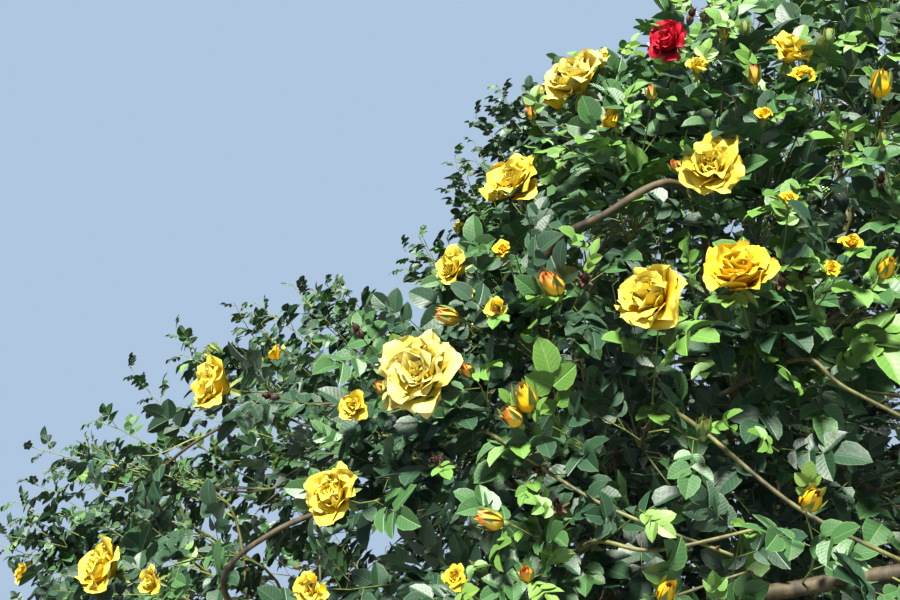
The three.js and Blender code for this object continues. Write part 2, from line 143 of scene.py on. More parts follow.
masses = []
for number, ring in enumerate(rings):
    for i in range(ring["count"]):
        azimuth = ring["azimuth"] + i * 360 / ring["count"]
        masses.append((f"{ring['name']}_{i + 1}", number, azimuth, ring["elevation"]))
mass_names, mass_rings, mass_azimuths, mass_elevations = (
    np.array(values) for values in zip(*masses)
)
mass_towards = direction(mass_azimuths, mass_elevations)
mass_entries = crown_point(mass_towards, entry_share)
mass_centres = crown_point(mass_towards, centre_share)


def nearest_mass(points):
    away = np.linalg.norm(points[:, None] - mass_centres[None], axis=-1)
    return np.argmin(away, axis=1)


# Stem
# The stem is the short woody foot that all the canes rise from, flared to the ground and grey
# with old bark. Its bark stands in ridges, drawn out upwards, with knots where canes were cut.

stem_heights = [0.0, 0.0195, 0.065, 0.13]
stem_widths = [0.104, 0.090, 0.076, 0.070]
stem_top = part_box("stem")[1].z
stem_neck_radius = 0.07
stem_lean = 0.014
stem_buttress = 0.12
stem_rings = 60
stem_sides = 60
stem_ridge = 0.12
stem_scars = 0.3
stem_stretch = 2.2
bark_scar_width = 0.06
bark_scar_rise = 0.09
bark_relief = 0.7
head_centre = np.array([stem_lean, 0.0, stem_top - stem_neck_radius])


def tubes(paths, radii, sides, capped=False):
    """Round skins along rows of points, one row a limb, all with as many points.
    The radii are one for each point of a path, or one for each corner of its ring."""
    count, steps = paths.shape[:2]
    ahead = unit(np.gradient(paths, axis=1))
    bend = np.cross(ahead[:, 0], ahead[:, -1])
    spare = np.cross(ahead[:, 0], unit(np.array([0.36, 0.48, 0.8])))
    straight = np.linalg.norm(bend, axis=1, keepdims=True) < 0.05
    hinge = unit(np.where(straight, spare, bend))[:, None]
    across = unit(np.cross(ahead, hinge))
    over = np.cross(ahead, across)
    turns = np.linspace(0, 2 * math.pi, sides, endpoint=False)[:, None]
    rim = across[:, :, None] * np.cos(turns) + over[:, :, None] * np.sin(turns)
    if np.ndim(radii) < 3:
        radii = radii[..., None]
    points = (paths[:, :, None] + rim * radii[..., None]).reshape(count, steps * sides, 3)
    step, side = np.meshgrid(np.arange(steps - 1), np.arange(sides), indexing="ij")
    a = (step * sides + side).ravel()
    b = (step * sides + (side + 1) % sides).ravel()
    faces = [np.stack([a, b, b + sides], 1), np.stack([a, b + sides, a + sides], 1)]
    if capped:
        points = np.concatenate([points, paths[:, :1], paths[:, -1:]], axis=1)
        foot = np.arange(sides)
        following = (foot + 1) % sides
        top = (steps - 1) * sides
        foot_middle = np.full(sides, steps * sides)
        faces.append(np.stack([foot_middle, following, foot], 1))
        faces.append(np.stack([foot_middle + 1, top + foot, top + following], 1))
    return points, np.concatenate(faces)


def several(points, faces):
    """One part from like shapes: their points in rows, and the triangles of one of them."""
    count, size = points.shape[:2]
    offsets = (np.arange(count) * size)[:, None, None]
    return {"points": points.reshape(-1, 3), "faces": (faces[None] + offsets).reshape(-1, 3)}


def joined(name, parts, materials):
    """One object from parts. Where a part has them, blade is its flat map from 0 to 1, and tints
    has the number of each triangle's material. In a second map each material has its own tile."""
    sizes = [len(part["points"]) for part in parts]
    offsets = np.cumsum([0] + sizes[:-1])
    points = np.concatenate([part["points"] for part in parts])
    faces = np.concatenate([part["faces"] + start for part, start in zip(parts, offsets)])
    mesh = bpy.data.meshes.new(name)
    mesh.vertices.add(len(points))
    mesh.vertices.foreach_set("co", points.astype(np.float32).ravel())
    mesh.loops.add(faces.size)
    mesh.loops.foreach_set("vertex_index", faces.astype(np.int32).ravel())
    mesh.polygons.add(len(faces))
    mesh.polygons.foreach_set("loop_start", np.arange(len(faces), dtype=np.int32) * 3)
    for material in materials:
        mesh.materials.append(material)
    tints = np.zeros(len(faces), np.int32)
    if "tints" in parts[0]:
        tints = np.concatenate([part["tints"] for part in parts]).astype(np.int32)
        mesh.polygons.foreach_set("material_index", tints)
    if "blade" in parts[0]:
        blade = np.concatenate([part["blade"] for part in parts])[faces.ravel()]
        mesh.uv_layers.new(name="blade").data.foreach_set("uv", blade.astype(np.float32).ravel())
        tile = np.stack([tints % 4, tints // 4], axis=1).repeat(3, axis=0)
        tiled = (tile + 0.04 + 0.92 * blade) / np.array([4, 2])
        mesh.uv_layers.new(name="OFBake").data.foreach_set("uv", tiled.astype(np.float32).ravel())
    mesh.update(calc_edges=True)
    mesh.polygons.foreach_set("use_smooth", np.ones(len(faces), bool))
    piece = bpy.data.objects.new(name, mesh)
    bpy.context.scene.collection.objects.link(piece)
    return piece


def lumps(points):
    """Smooth noise from -1 to 1, one value for each point of an array."""
    flat = points.reshape(-1, 3)
    values = [noise.noise(Vector(point)) for point in flat]
    return np.array(values).reshape(points.shape[:-1])


def bark_radii(paths, radii, sides, ridge, scar_spacing):
    """Radii of a bark skin, with long ridges, knots, and a raised scar ring at each old leaf."""
    steps = np.linalg.norm(np.diff(paths, axis=1), axis=2)
    along = np.concatenate([np.zeros((len(paths), 1)), np.cumsum(steps, axis=1)], axis=1)
    turns = np.linspace(0, 2 * math.pi, sides, endpoint=False)
    limb = np.arange(len(paths))[:, None, None] * 7.3
    zero = np.zeros((len(paths), paths.shape[1], sides))
    x = np.cos(turns) * 1.7 + zero
    y = np.sin(turns) * 1.7 + zero
    z = along[:, :, None] + zero
    ridges = lumps(np.stack([x * 1.6, y * 1.6, z * 8 + limb], axis=-1))
    knots = lumps(np.stack([x, y, z * 30 + limb], axis=-1))
    scars = np.exp(-((((z / scar_spacing + limb) % 1) - 0.5) / bark_scar_width) ** 2)
    relief = ridge * (ridges + 0.5 * knots) + bark_scar_rise * scars
    return radii[..., None] * (1 + relief)


def plug(tree, socket, value):
    if isinstance(value, bpy.types.NodeSocket):
        tree.links.new(value, socket)
    else:
        socket.default_value = value


def node(tree, kind, values, output=0, **settings):
    """Adds a node with its settings and inputs, and gives back one of its outputs."""
    made = tree.nodes.new(kind)
    for setting, value in settings.items():
        setattr(made, setting, value)
    for key, value in values.items():
        plug(tree, made.inputs[key], value)
    return made.outputs[output]


def shading(tree, kind, values, output=0, **settings):
    return node(tree, "ShaderNode" + kind, values, output, **settings)


def maths(tree, operation, *values):
    return shading(tree, "Math", dict(enumerate(values)), operation=operation)


def ranged(tree, value, low, high, new_low=0.0, new_high=1.0):
    """The value carried over from one pair of ends to another, and held between them."""
    ends = {"From Min": low, "From Max": high, "To Min": new_low, "To Max": new_high}
    return shading(tree, "MapRange", {"Value": value, **ends})


def colour_between(tree, share, first, second):
    """A colour that goes from the first to the second as the share goes from 0 to 1."""
    values = {0: share, 6: first, 7: second}
    return shading(tree, "Mix", values, output=2, data_type="RGBA")


def pattern_group(name, **inputs):
    """A shader group that puts out a colour and a relief, and its input values by name."""
    tree = bpy.data.node_groups.new(name, "ShaderNodeTree")
    for label, value in inputs.items():
        is_colour = isinstance(value, tuple)
        kind = "NodeSocketColor" if is_colour else "NodeSocketFloat"
        socket = tree.interface.new_socket(label, in_out="INPUT", socket_type=kind)
        socket.default_value = (*value, 1) if is_colour else value
    for label, kind in (("Colour", "NodeSocketColor"), ("Relief", "NodeSocketFloat")):
        tree.interface.new_socket(label, in_out="OUTPUT", socket_type=kind)
    return tree, tree.nodes.new("NodeGroupInput").outputs


def put_out(tree, colour, relief):
    outputs = tree.nodes.new("NodeGroupOutput").inputs
    tree.links.new(colour, outputs["Colour"])
    tree.links.new(relief, outputs["Relief"])


def patterned(name, group, values, strength, depth, roughness, gloss=0.5):
    """A material with the colour and the relief of a pattern group, which gets its own values."""
    material = bpy.data.materials.new(name)
    material.use_nodes = True
    tree = material.node_tree
    surface = tree.nodes["Principled BSDF"].inputs
    pattern = tree.nodes.new("ShaderNodeGroup")
    pattern.node_tree = group
    for label, value in values.items():
        pattern.inputs[label].default_value = (*value, 1) if isinstance(value, tuple) else value
    tree.links.new(pattern.outputs["Colour"], surface["Base Color"])
    relief = {"Height": pattern.outputs["Relief"], "Strength": strength, "Distance": depth}
    tree.links.new(shading(tree, "Bump", relief), surface["Normal"])
    surface["Roughness"].default_value = roughness
    surface["Specular IOR Level"].default_value = gloss
    return material


bark_group, given = pattern_group(
    "bark_pattern", Dark=(0.05, 0.035, 0.02), Light=(0.2, 0.15, 0.1), Grain=60.0
)
place = shading(bark_group, "TexCoord", {}, output="Object")
drawn_out = shading(bark_group, "Mapping", {"Vector": place, "Scale": (1, 1, 0.2)})
grain = {"Vector": drawn_out, "Scale": given["Grain"], "Detail": 5.0}
fissures = shading(bark_group, "TexNoise", grain)
patches = shading(bark_group, "TexNoise", {"Vector": place, "Scale": 13.0, "Detail": 3.0})
mottle = ranged(bark_group, maths(bark_group, "ADD", fissures, patches), 0.75, 1.25)
shade = colour_between(bark_group, mottle, given["Dark"], given["Light"])
put_out(bark_group, shade, fissures)


def bark_material(name, dark, light, grain, roughness, depth):
    """Bark for one kind of wood: its two colours, the size of its grain and its relief."""
    values = {"Dark": dark, "Light": light, "Grain": grain}
    return patterned(name, bark_group, values, bark_relief, depth, roughness)


old_bark = bark_material("old_bark", (0.050, 0.036, 0.022), (0.25, 0.19, 0.13), 70.0, 0.85, 0.004)

stem_rise = np.linspace(0, 1, stem_rings) ** 0.8 * stem_top
stem_dome = np.clip((stem_rise - head_centre[2]) / stem_neck_radius, 0, 1)
stem_radii = np.interp(stem_rise, stem_heights, stem_widths) * np.sqrt(1 - 0.995 * stem_dome**2)
stem_path = np.stack([stem_lean * stem_rise / head_centre[2], 0 * stem_rise, stem_rise], axis=1)
stem_turns = np.linspace(0, 2 * math.pi, stem_sides, endpoint=False)
stem_flare = np.maximum(0, 1 - stem_rise / stem_heights[2])[:, None]
stem_swell = 1 + stem_buttress * np.cos(3 * stem_turns)[None] * stem_flare
stem_skin = bark_radii(
    stem_path[None] * stem_stretch, stem_radii[None], stem_sides, stem_ridge, stem_scars
)
stem_points, stem_faces = tubes(stem_path[None], stem_skin * stem_swell, stem_sides, True)
stem_points[..., 2] = np.clip(stem_points[..., 2], 0, stem_top)
stem = joined("stem_bark", [several(stem_points, stem_faces)], [old_bark])
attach(stem, "root")
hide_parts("stem")

# Canes
# The canes are the woody shoots of past years. They rise from the stem's head and arch out to
# the top and the shoulders of the bush, brown with some green, ringed by old leaf scars.

cane_taper = (0.015, 0.009)
cane_inner_rise = 67
cane_outer_rise = 38
cane_root_depth = 0.6
cane_pulls = (0.28, 0.3)
cane_steps = 90
cane_sides = 12
cane_ridge = 0.1
cane_scars = 0.075


def arches(starts, leaving, ends, arriving, pulls, steps):
    """Smooth curves from start to end, one a row, that leave and arrive in the given ways."""
    length = np.linalg.norm(ends - starts, axis=1, keepdims=True)
    first = (starts + leaving * pulls[0] * length)[:, None]
    second = (ends - arriving * pulls[1] * length)[:, None]
    t = np.linspace(0, 1, steps)[None, :, None]
    near = starts[:, None] * (1 - t) ** 3 + first * 3 * t * (1 - t) ** 2
    return near + second * 3 * t**2 * (1 - t) + ends[:, None] * t**3


def limbs(paths, tapers, sides, ridge, scars):
    """One part of barked limbs, each with its radii at the root and at the tip."""
    radii = np.linspace(*np.transpose(tapers), paths.shape[1], axis=-1)
    radii = np.broadcast_to(radii, paths.shape[:2])
    return several(*tubes(paths, bark_radii(paths, radii, sides, ridge, scars), sides, True))


fed_by_cane = np.flatnonzero(mass_rings < 2)
cane_rises = np.where(mass_rings[fed_by_cane] == 0, cane_inner_rise, cane_outer_rise)
cane_leaving = direction(mass_azimuths[fed_by_cane], cane_rises)
cane_paths = arches(
    head_centre + cane_leaving * cane_root_depth * stem_neck_radius,
    cane_leaving,
    mass_entries[fed_by_cane],
    mass_towards[fed_by_cane],
    cane_pulls,
    cane_steps,
)
cane_material = bark_material(
    "cane_bark", (0.055, 0.042, 0.020), (0.20, 0.165, 0.085), 90.0, 0.75, 0.0015
)
cane_part = limbs(cane_paths, [cane_taper], cane_sides, cane_ridge, cane_scars)
canes = joined("canes", [cane_part], [cane_material])
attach(canes, "root")
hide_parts(*[f"cane_{i + 1}" for i in range(len(fed_by_cane))])

# Boughs
# Side boughs leave the shoulder canes and feed the belt and the skirt of the bush. They are
# last year's wood, thinner and greener than the canes.

bough_taper = (0.010, 0.007)
bough_belt_share = 0.72
bough_skirt_share = 0.45
bough_step = 0.12
bough_pulls = (0.3, 0.35)
bough_steps = 50
bough_sides = 10
bough_ridge = 0.08
bough_scars = 0.06


def point_on(path, share):
    place = share * (len(path) - 1)
    below = min(int(place), len(path) - 2)
    return path[below] + (path[below + 1] - path[below]) * (place - below)


shoulder_canes = cane_paths[mass_rings[fed_by_cane] == 1]
boughs_on_cane = np.zeros(len(shoulder_canes))
fed_by_bough = np.flatnonzero(mass_rings >= 2)
bough_starts = []
bough_leaving = []
for mass in fed_by_bough:
    highest = bough_belt_share if mass_rings[mass] == 2 else bough_skirt_share
    spots = np.array([point_on(path, highest) for path in shoulder_canes])
    parent = np.argmin(np.linalg.norm(spots - mass_entries[mass], axis=1))
    share = highest - bough_step * boughs_on_cane[parent]
    boughs_on_cane[parent] += 1
    start = point_on(shoulder_canes[parent], share)
    bough_starts.append(start)
    bough_leaving.append(unit(point_on(shoulder_canes[parent], share + 0.05) - start))
bough_paths = arches(
    np.array(bough_starts),
    np.array(bough_leaving),
    mass_entries[fed_by_bough],
    mass_towards[fed_by_bough],
    bough_pulls,
    bough_steps,
)
bough_material = bark_material(
    "bough_bark", (0.060, 0.060, 0.022), (0.17, 0.18, 0.065), 110.0, 0.65, 0.001
)
bough_part = limbs(bough_paths, [bough_taper], bough_sides, bough_ridge, bough_scars)
boughs = joined("boughs", [bough_part], [bough_material])
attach(boughs, "root")
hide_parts(*[f"bough_{i + 1}" for i in range(len(fed_by_bough))])

# Leading shoots and twigs
# Each limb is carried on into its mass by one leading shoot, and twigs leave it for points
# spread evenly over the crown, lower down the farther aside they have to go.

golden_angle = 137.50776405
upwards = np.array([0.0, 0.0, 1.0])
chance = np.random.default_rng(1867)
leader_share = 0.84
leader_taper = (0.007, 0.004)
leader_pulls = (0.3, 0.3)
leader_steps = 16
leader_sides = 8
leader_overlap = 0.004
twig_taper = (0.0045, 0.0022)
twig_pulls = (0.35, 0.3)
twig_steps = 10
twig_sides = 6
twig_count = 186
twig_lowest = -43
twig_scatter = 0.12
twig_reach = 0.84
twig_reach_spread = 0.06
twig_highest_root = 0.8
twig_root_fall = 0.8
twig_root_limits = (0.12, 0.72)
twig_outwards = 0.7
twig_lift = 0.25


def along_plane(vectors, normals):
    """The vectors without what they have along the normals."""
    return vectors - normals * np.sum(vectors * normals, axis=-1, keepdims=True)


def spread_directions(count, lowest, first_azimuth):
    """Directions spread evenly over the crown by the golden angle, from its top down."""
    steps = np.arange(count)
    bottom = math.sin(math.radians(lowest))
    heights = 1 - (1 - bottom) * (steps + 0.5) / count
    return direction(first_azimuth + steps * golden_angle, np.degrees(np.arcsin(heights)))


def stems(paths, taper, sides):
    """One part of thin smooth stems that taper from root to tip."""
    return several(*tubes(paths, np.linspace(*taper, paths.shape[1])[None], sides))


limb_ends = np.zeros((len(masses), 3))
limb_ways = np.zeros((len(masses), 3))
for paths, fed in ((cane_paths, fed_by_cane), (bough_paths, fed_by_bough)):
    limb_ends[fed] = paths[:, -1]
    limb_ways[fed] = unit(paths[:, -1] - paths[:, -2])
leader_paths = arches(
    limb_ends - limb_ways * leader_overlap,
    limb_ways,
    crown_point(mass_towards, grown_share(mass_towards, leader_share)),
    mass_towards,
    leader_pulls,
    leader_steps,
)

twig_towards = spread_directions(twig_count, twig_lowest, 0)
scatter = twig_scatter * chance.uniform(-0.5, 0.5, (twig_count, 3))
twig_towards = unit(twig_towards + scatter)
twig_shares = chance.uniform(twig_reach - twig_reach_spread, twig_reach, twig_count)
twig_shares = grown_share(twig_towards, twig_shares)
twig_ends = crown_point(twig_towards, twig_shares)
twig_mass = nearest_mass(twig_ends)
twig_aside = along_plane(twig_ends - mass_entries[twig_mass], mass_towards[twig_mass])
twig_roots = twig_highest_root - np.linalg.norm(twig_aside, axis=1) / twig_root_fall
twig_roots = np.clip(twig_roots, *twig_root_limits)
twig_starts = np.array(
    [point_on(leader_paths[mass], root) for mass, root in zip(twig_mass, twig_roots)]
)
twig_leaving = unit(unit(twig_ends - twig_starts) + twig_outwards * mass_towards[twig_mass])
twig_arriving = unit(twig_towards + twig_lift * upwards)
twig_paths = arches(twig_starts, twig_leaving, twig_ends, twig_arriving, twig_pulls, twig_steps)
leader_part = stems(leader_paths, leader_taper, leader_sides)
twig_part = stems(twig_paths, twig_taper, twig_sides)
twigs = joined("twigs", [leader_part, twig_part], [bough_material])
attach(twigs, "root")

# Flowering tips
# Blooms, buds and spent heads each end a shoot of their own. Those that show at the front are
# placed one by one, and the rest are spread over the crown, with buds in twos and threes.

# Each row has the azimuth and elevation of the flower's place and of the way it faces, then its
# size, its kind and, for a bloom, how far it is open.
front_labels = ("at", "face", "size", "kind", "open")
front_blooms = [
    ((-116.7, 17.3), (-118, 14), 0.130, "cream", 0.85),
    ((-102.3, 19.9), (-135, 22), 0.110, "lemon", 0.85),
    ((-98.0, 20.3), (-100, 44), 0.112, "golden", 0.75),
    ((-98.9, 27.9), (-114, 12), 0.096, "lemon", 0.75),
    ((-108.9, 39.8), (-132, 40), 0.120, "cream", 0.7),
    ((-107.4, 41.5), (-122, 50), 0.064, "cream", 0.4),
    ((-112.7, 31.4), (-138, 22), 0.106, "lemon", 0.75),
    ((-93.5, 35.5), (-75, 40), 0.084, "lemon", 0.6),
    ((-101.0, 39.9), (-140, 12), 0.078, "crimson", 0.7),
    ((-116.1, 25.2), (-145, 20), 0.078, "lemon", 0.65),
    ((-120.9, 10.0), (-122, 12), 0.096, "lemon", 0.7),
    ((-135.8, 18.6), (-146, 14), 0.112, "lemon", 0.6),
    ((-137.5, 5.6), (-145, 24), 0.108, "lemon", 0.6),
    ((-92.9, 33.5), (-95, 40), 0.046, "golden", 0.45),
    ((-99.5, 36.5), (-80, 50), 0.048, "lemon", 0.4),
    ((-95.6, 31.2), (-95, 30), 0.036, "golden", 0.4),
    ((-113.2, 5.5), (-100, 20), 0.040, "golden", 0.7),
    ((-112.5, 21.4), (-110, -10), 0.042, "lemon", 0.8),
    ((-113.0, 25.8), (-100, 30), 0.038, "golden", 0.6),
    ((-121.5, 15.8), (-120, 0), 0.054, "lemon", 0.85),
    ((-121.5, 5.0), (-115, 0), 0.054, "lemon", 0.8),
    ((-133.2, 5.2), (-130, 0), 0.050, "lemon", 0.6),
    ((-92.1, 22.0), (-95, 30), 0.034, "golden", 0.6),
    ((-93.3, 20.7), (-95, 10), 0.030, "golden", 0.6),
    ((-105.5, 34.1), (-150, 40), 0.046, "golden", 0.5),
    ((-114.5, 22.6), (-150, 10), 0.036, "lemon", 0.6),
    ((-94.9, 25.1), (-100, 20), 0.030, "golden", 0.6),
]
front_buds = [
    ((-108.6, 21.9), (-140, 35), 0.042, "flushed"),
    ((-115.6, 21.5), (-175, 12), 0.036, "flushed"),
    ((-109.9, 14.7), (-105, 70), 0.042, "golden"),
    ((-110.4, 14.0), (-150, 45), 0.034, "flushed"),
    ((-111.0, 8.5), (-170, 15), 0.036, "flushed"),
    ((-106.2, 36.2), (-60, 35), 0.036, "golden"),
    ((-113.9, 17.4), (-130, 20), 0.024, "flushed"),
    ((-97.3, 39.4), (-100, 70), 0.024, "flushed"),
    ((-95.7, 34.6), (-120, 60), 0.026, "flushed"),
    ((-88.4, 31.9), (-80, 60), 0.038, "golden"),
    ((-90.7, 20.3), (-80, 40), 0.030, "golden"),
    ((-95.7, 8.9), (-70, 20), 0.036, "golden"),
    ((-102.6, 4.6), (-60, 40), 0.032, "golden"),
    ((-95.8, 39.2), (-95, 75), 0.022, "green"),
    ((-90.5, 36.8), (-90, 75), 0.024, "green"),
    ((-100.3, 12.7), (-100, 65), 0.024, "green"),
    ((-89.1, 28.4), (-100, 60), 0.020, "green"),
    ((-91.1, 28.7), (-100, 60), 0.020, "green"),
    ((-116.5, 44.5), (-125, 75), 0.018, "flushed"),
    ((-114.8, 41.4), (-110, 60), 0.022, "flushed"),
    ((-102.8, 35.8), (-120, 60), 0.022, "flushed"),
    ((-100.9, 28.8), (-150, 40), 0.022, "flushed"),
    ((-109.4, 5.6), (-110, 40), 0.024, "flushed"),
    ((-120.0, 16.8), (-140, 40), 0.020, "flushed"),
]
front_heads = [
    (-116.3, 12.7), (-109.6, 11.8), (-108.3, 9.6), (-128.3, 24.7), (-133.7, 18.9),
    (-99.4, 46.4), (-98.0, 45.9), (-107.5, 23.9), (-94.2, 22.1), (-95.5, 21.6),
]
bloom_share = 0.985
bud_share = 0.98
head_share = 0.95
head_size = 0.013
front_middle = direction(-118, 20)
front_width = 36
spread_bloom_count = 66
spread_bloom_lowest = -22
spread_bloom_share = 0.955
spread_bloom_sizes = (0.085, 0.112)
spread_bloom_openness = (0.55, 0.95)
spread_bloom_kinds = ["lemon", "lemon", "cream", "golden"]
small_bloom_part = 0.3
bud_cluster_count = 34
bud_cluster_lowest = -14
bud_cluster_spread = 0.035
spread_bud_sizes = (0.018, 0.036)
spread_bud_shares = (0.94, 0.98)
spread_bud_kinds = ["green", "flushed", "golden"]
spread_head_count = 44
spread_head_lowest = -25
spread_head_sizes = (0.009, 0.014)
spread_head_shares = (0.90, 0.965)

tips = []
for part, flowers, share in (("bloom", front_blooms, bloom_share), ("bud", front_buds, bud_share)):
    for flower in flowers:
        tip = dict(zip(front_labels, flower))
        tips.append({"part": part, **tip, "at": direction(*tip["at"]), "share": share})
for place in front_heads:
    tip = {"part": "head", "at": direction(*place), "size": head_size, "share": head_share}
    tips.append(tip)
for towards in spread_directions(spread_bloom_count, spread_bloom_lowest, 40):
    if angle_between(towards, front_middle) > front_width:
        bloom = {"kind": chance.choice(spread_bloom_kinds)}
        bloom["size"] = chance.uniform(*spread_bloom_sizes)
        if chance.random() < small_bloom_part:
            bloom["size"] *= 0.5
        bloom["open"] = chance.uniform(*spread_bloom_openness)
        share = grown_share(towards, spread_bloom_share)
        tips.append({"part": "bloom", **bloom, "at": towards, "share": share})
for towards in spread_directions(bud_cluster_count, bud_cluster_lowest, 75):
    if angle_between(towards, front_middle) > front_width:
        for _ in range(chance.integers(1, 4)):
            near = unit(towards + bud_cluster_spread * chance.uniform(-1, 1, 3))
            bud = {"kind": chance.choice(spread_bud_kinds)}
            bud["size"] = chance.uniform(*spread_bud_sizes)
            share = grown_share(near, chance.uniform(*spread_bud_shares))
            tips.append({"part": "bud", **bud, "at": near, "share": share})
for towards in spread_directions(spread_head_count, spread_head_lowest, 10):
    head = {"size": chance.uniform(*spread_head_sizes)}
    share = grown_share(towards, chance.uniform(*spread_head_shares))
    tips.append({"part": "head", "at": towards, "share": share, **head})
tip_towards = np.array([tip["at"] for tip in tips])
tip_shares = np.array([tip["share"] for tip in tips])

# Long canes at the surface
# Some canes run along the surface before they turn in, and show between the leaves. They are
# dark brown wood with some green, and the thinner ones are last year's.

# Each row has the radii at the root and the tip, then the points that the cane passes through,
# each with its azimuth, its elevation and its share of the crown's reach.
long_canes = [
    ((0.0078, 0.0044), [(-112.5, 21, 0.80), (-110.8, 26.6, 0.94), (-106, 27.9, 0.965),
                        (-101, 30.2, 0.94), (-98, 33, 0.75)]),
    ((0.0058, 0.0036), [(-135, -3, 0.70), (-131.6, 4.6, 0.92), (-127.6, 8.6, 0.94),
                        (-124, 13, 0.84)]),
    ((0.0036, 0.0026), [(-106, 20, 0.70), (-102, 15.2, 0.93), (-95.7, 9.0, 0.955),
                        (-89, 5.5, 0.94)]),
    ((0.0036, 0.0022), [(-113, 6, 0.70), (-106.9, 7.8, 0.93), (-103, 7.2, 0.95), (-97, 8.6, 0.92)]),
    ((0.0140, 0.0100), [(-103, 0, 0.70), (-98, 4.8, 0.84), (-94.4, 5.8, 0.85), (-86, 7, 0.84)]),
    ((0.0030, 0.0022), [(-118, 18, 0.70), (-114, 15, 0.93), (-106, 9.8, 0.95), (-99, 7.0, 0.93)]),
    ((0.0038, 0.0022), [(-158, 6, 0.70), (-154, 13, 0.87), (-146.5, 20, 0.88), (-140, 26, 0.80)]),
    ((0.0034, 0.0022), [(-98, 24, 0.70), (-94.7, 17.6, 0.93), (-92.6, 15.1, 0.95),
                        (-85, 11, 0.93)]),
    ((0.0030, 0.0018), [(-118, 2, 0.70), (-112, 4.5, 0.91), (-106, 4.0, 0.92), (-98, 6.4, 0.90)]),
    ((0.0064, 0.0036), [(-60, 5, 0.70), (-66, 16, 0.92), (-74, 24, 0.93), (-84, 30, 0.88)]),
    ((0.0070, 0.0036), [(20, 0, 0.70), (12, 14, 0.92), (0, 26, 0.93), (-14, 36, 0.88)]),
    ((0.0070, 0.0036), [(100, -6, 0.70), (92, 10, 0.92), (80, 22, 0.93), (66, 32, 0.88)]),
]
long_cane_green_below = 0.0037
long_cane_root_depth = 0.15
long_cane_steps = 48
long_cane_sides = 8
long_cane_ridge = 0.13
long_cane_scars = 0.05
long_cane_bare_steps = 12

wood_paths = [leader_paths[:, 3:], twig_paths[:, 1:], bough_paths[:, 20::6], cane_paths[:, 40::8]]
wood_points = np.concatenate([paths.reshape(-1, 3) for paths in wood_paths])
wood_ways = [unit(np.gradient(paths, axis=1)).reshape(-1, 3) for paths in wood_paths]
wood_ways = np.concatenate(wood_ways)


def nearest_wood(points):
    """For each point, the number of the point of the wood that is nearest to it."""
    return np.array([np.argmin(np.sum((wood_points - point) ** 2, axis=1)) for point in points])


def smooth_through(points, steps):
    """A smooth path through some points, by Catmull and Rom's curve."""
    padded = np.concatenate([points[:1] * 2 - points[1:2], points, points[-1:] * 2 - points[-2:-1]])
    place = np.linspace(0, len(points) - 1.001, steps)
    piece = place.astype(int)
    t = (place - piece)[:, None]
    a, b, c, d = (padded[piece + i] for i in range(4))
    return 0.5 * (
        2 * b + (c - a) * t + (2 * a - 5 * b + 4 * c - d) * t**2 + (3 * b - a - 3 * c + d) * t**3
    )


long_paths = []
for _, through in long_canes:
    turns, rises, shares = np.array(through).T
    places = crown_point(direction(turns, rises), shares)
    inside = places[:1] * (1 - long_cane_root_depth) + heart * long_cane_root_depth
    root = wood_points[nearest_wood(inside)]
    long_paths.append(smooth_through(np.concatenate([root, places]), long_cane_steps))
long_paths = np.array(long_paths)
long_tapers = np.array([taper for taper, _ in long_canes])
long_material = bark_material(
    "long_cane_bark", (0.010, 0.007, 0.004), (0.090, 0.068, 0.032), 90.0, 0.7, 0.0030
)
long_green_material = bark_material(
    "long_cane_green", (0.026, 0.020, 0.009), (0.15, 0.155, 0.042), 110.0, 0.6, 0.0020
)
long_part = limbs(long_paths, long_tapers, long_cane_sides, long_cane_ridge, long_cane_scars)
long_is_green = long_tapers[:, 0] < long_cane_green_below
long_part["tints"] = long_is_green.repeat(len(long_part["faces"]) // len(long_canes))
long_piece = joined("long_canes", [long_part], [long_material, long_green_material])
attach(long_piece, "root")
leafy_paths = long_paths[:, long_cane_bare_steps:]
leafy_ways = unit(np.gradient(long_paths, axis=1))[:, long_cane_bare_steps:]
wood_points = np.concatenate([wood_points, leafy_paths.reshape(-1, 3)])
wood_ways = np.concatenate([wood_ways, leafy_ways.reshape(-1, 3)])

# Prickles
# The canes bear broad based prickles that hook down a little. They grow from the bark, spread
# unevenly along the wood, and dry to a reddish brown.

prickle_sides = 5
prickle_point = 0.0002
prickle_scales = (0.5, 1.15)
prickle_material = bark_material(
    "prickle", (0.060, 0.022, 0.012), (0.18, 0.085, 0.045), 260.0, 0.5, 0.0003
)
prickle_inputs = {
    "Density": ("Float", 190.0),
    "Length": ("Float", 0.0075),
    "Width": ("Float", 0.0026),
    "Hook": ("Float", -0.5),
    "Seed": ("Int", 7),
    "Finish": ("Material", prickle_material),
}

prickle_tree = bpy.data.node_groups.new("prickles", "GeometryNodeTree")


def prickle_socket(label, kind, way):
    """Adds a named socket to the prickles' tree, and gives back its identifier."""
    socket_type = f"NodeSocket{kind}"
    made = prickle_tree.interface.new_socket(label, in_out=way, socket_type=socket_type)
    return made.identifier


prickle_socket("Geometry", "Geometry", "INPUT")
prickle_socket("Geometry", "Geometry", "OUTPUT")
prickle_identifiers = {
    label: prickle_socket(label, kind, "INPUT") for label, (kind, _) in prickle_inputs.items()
}


def growing(kind, values, output=0, **settings):
    return node(prickle_tree, kind, values, output, **settings)


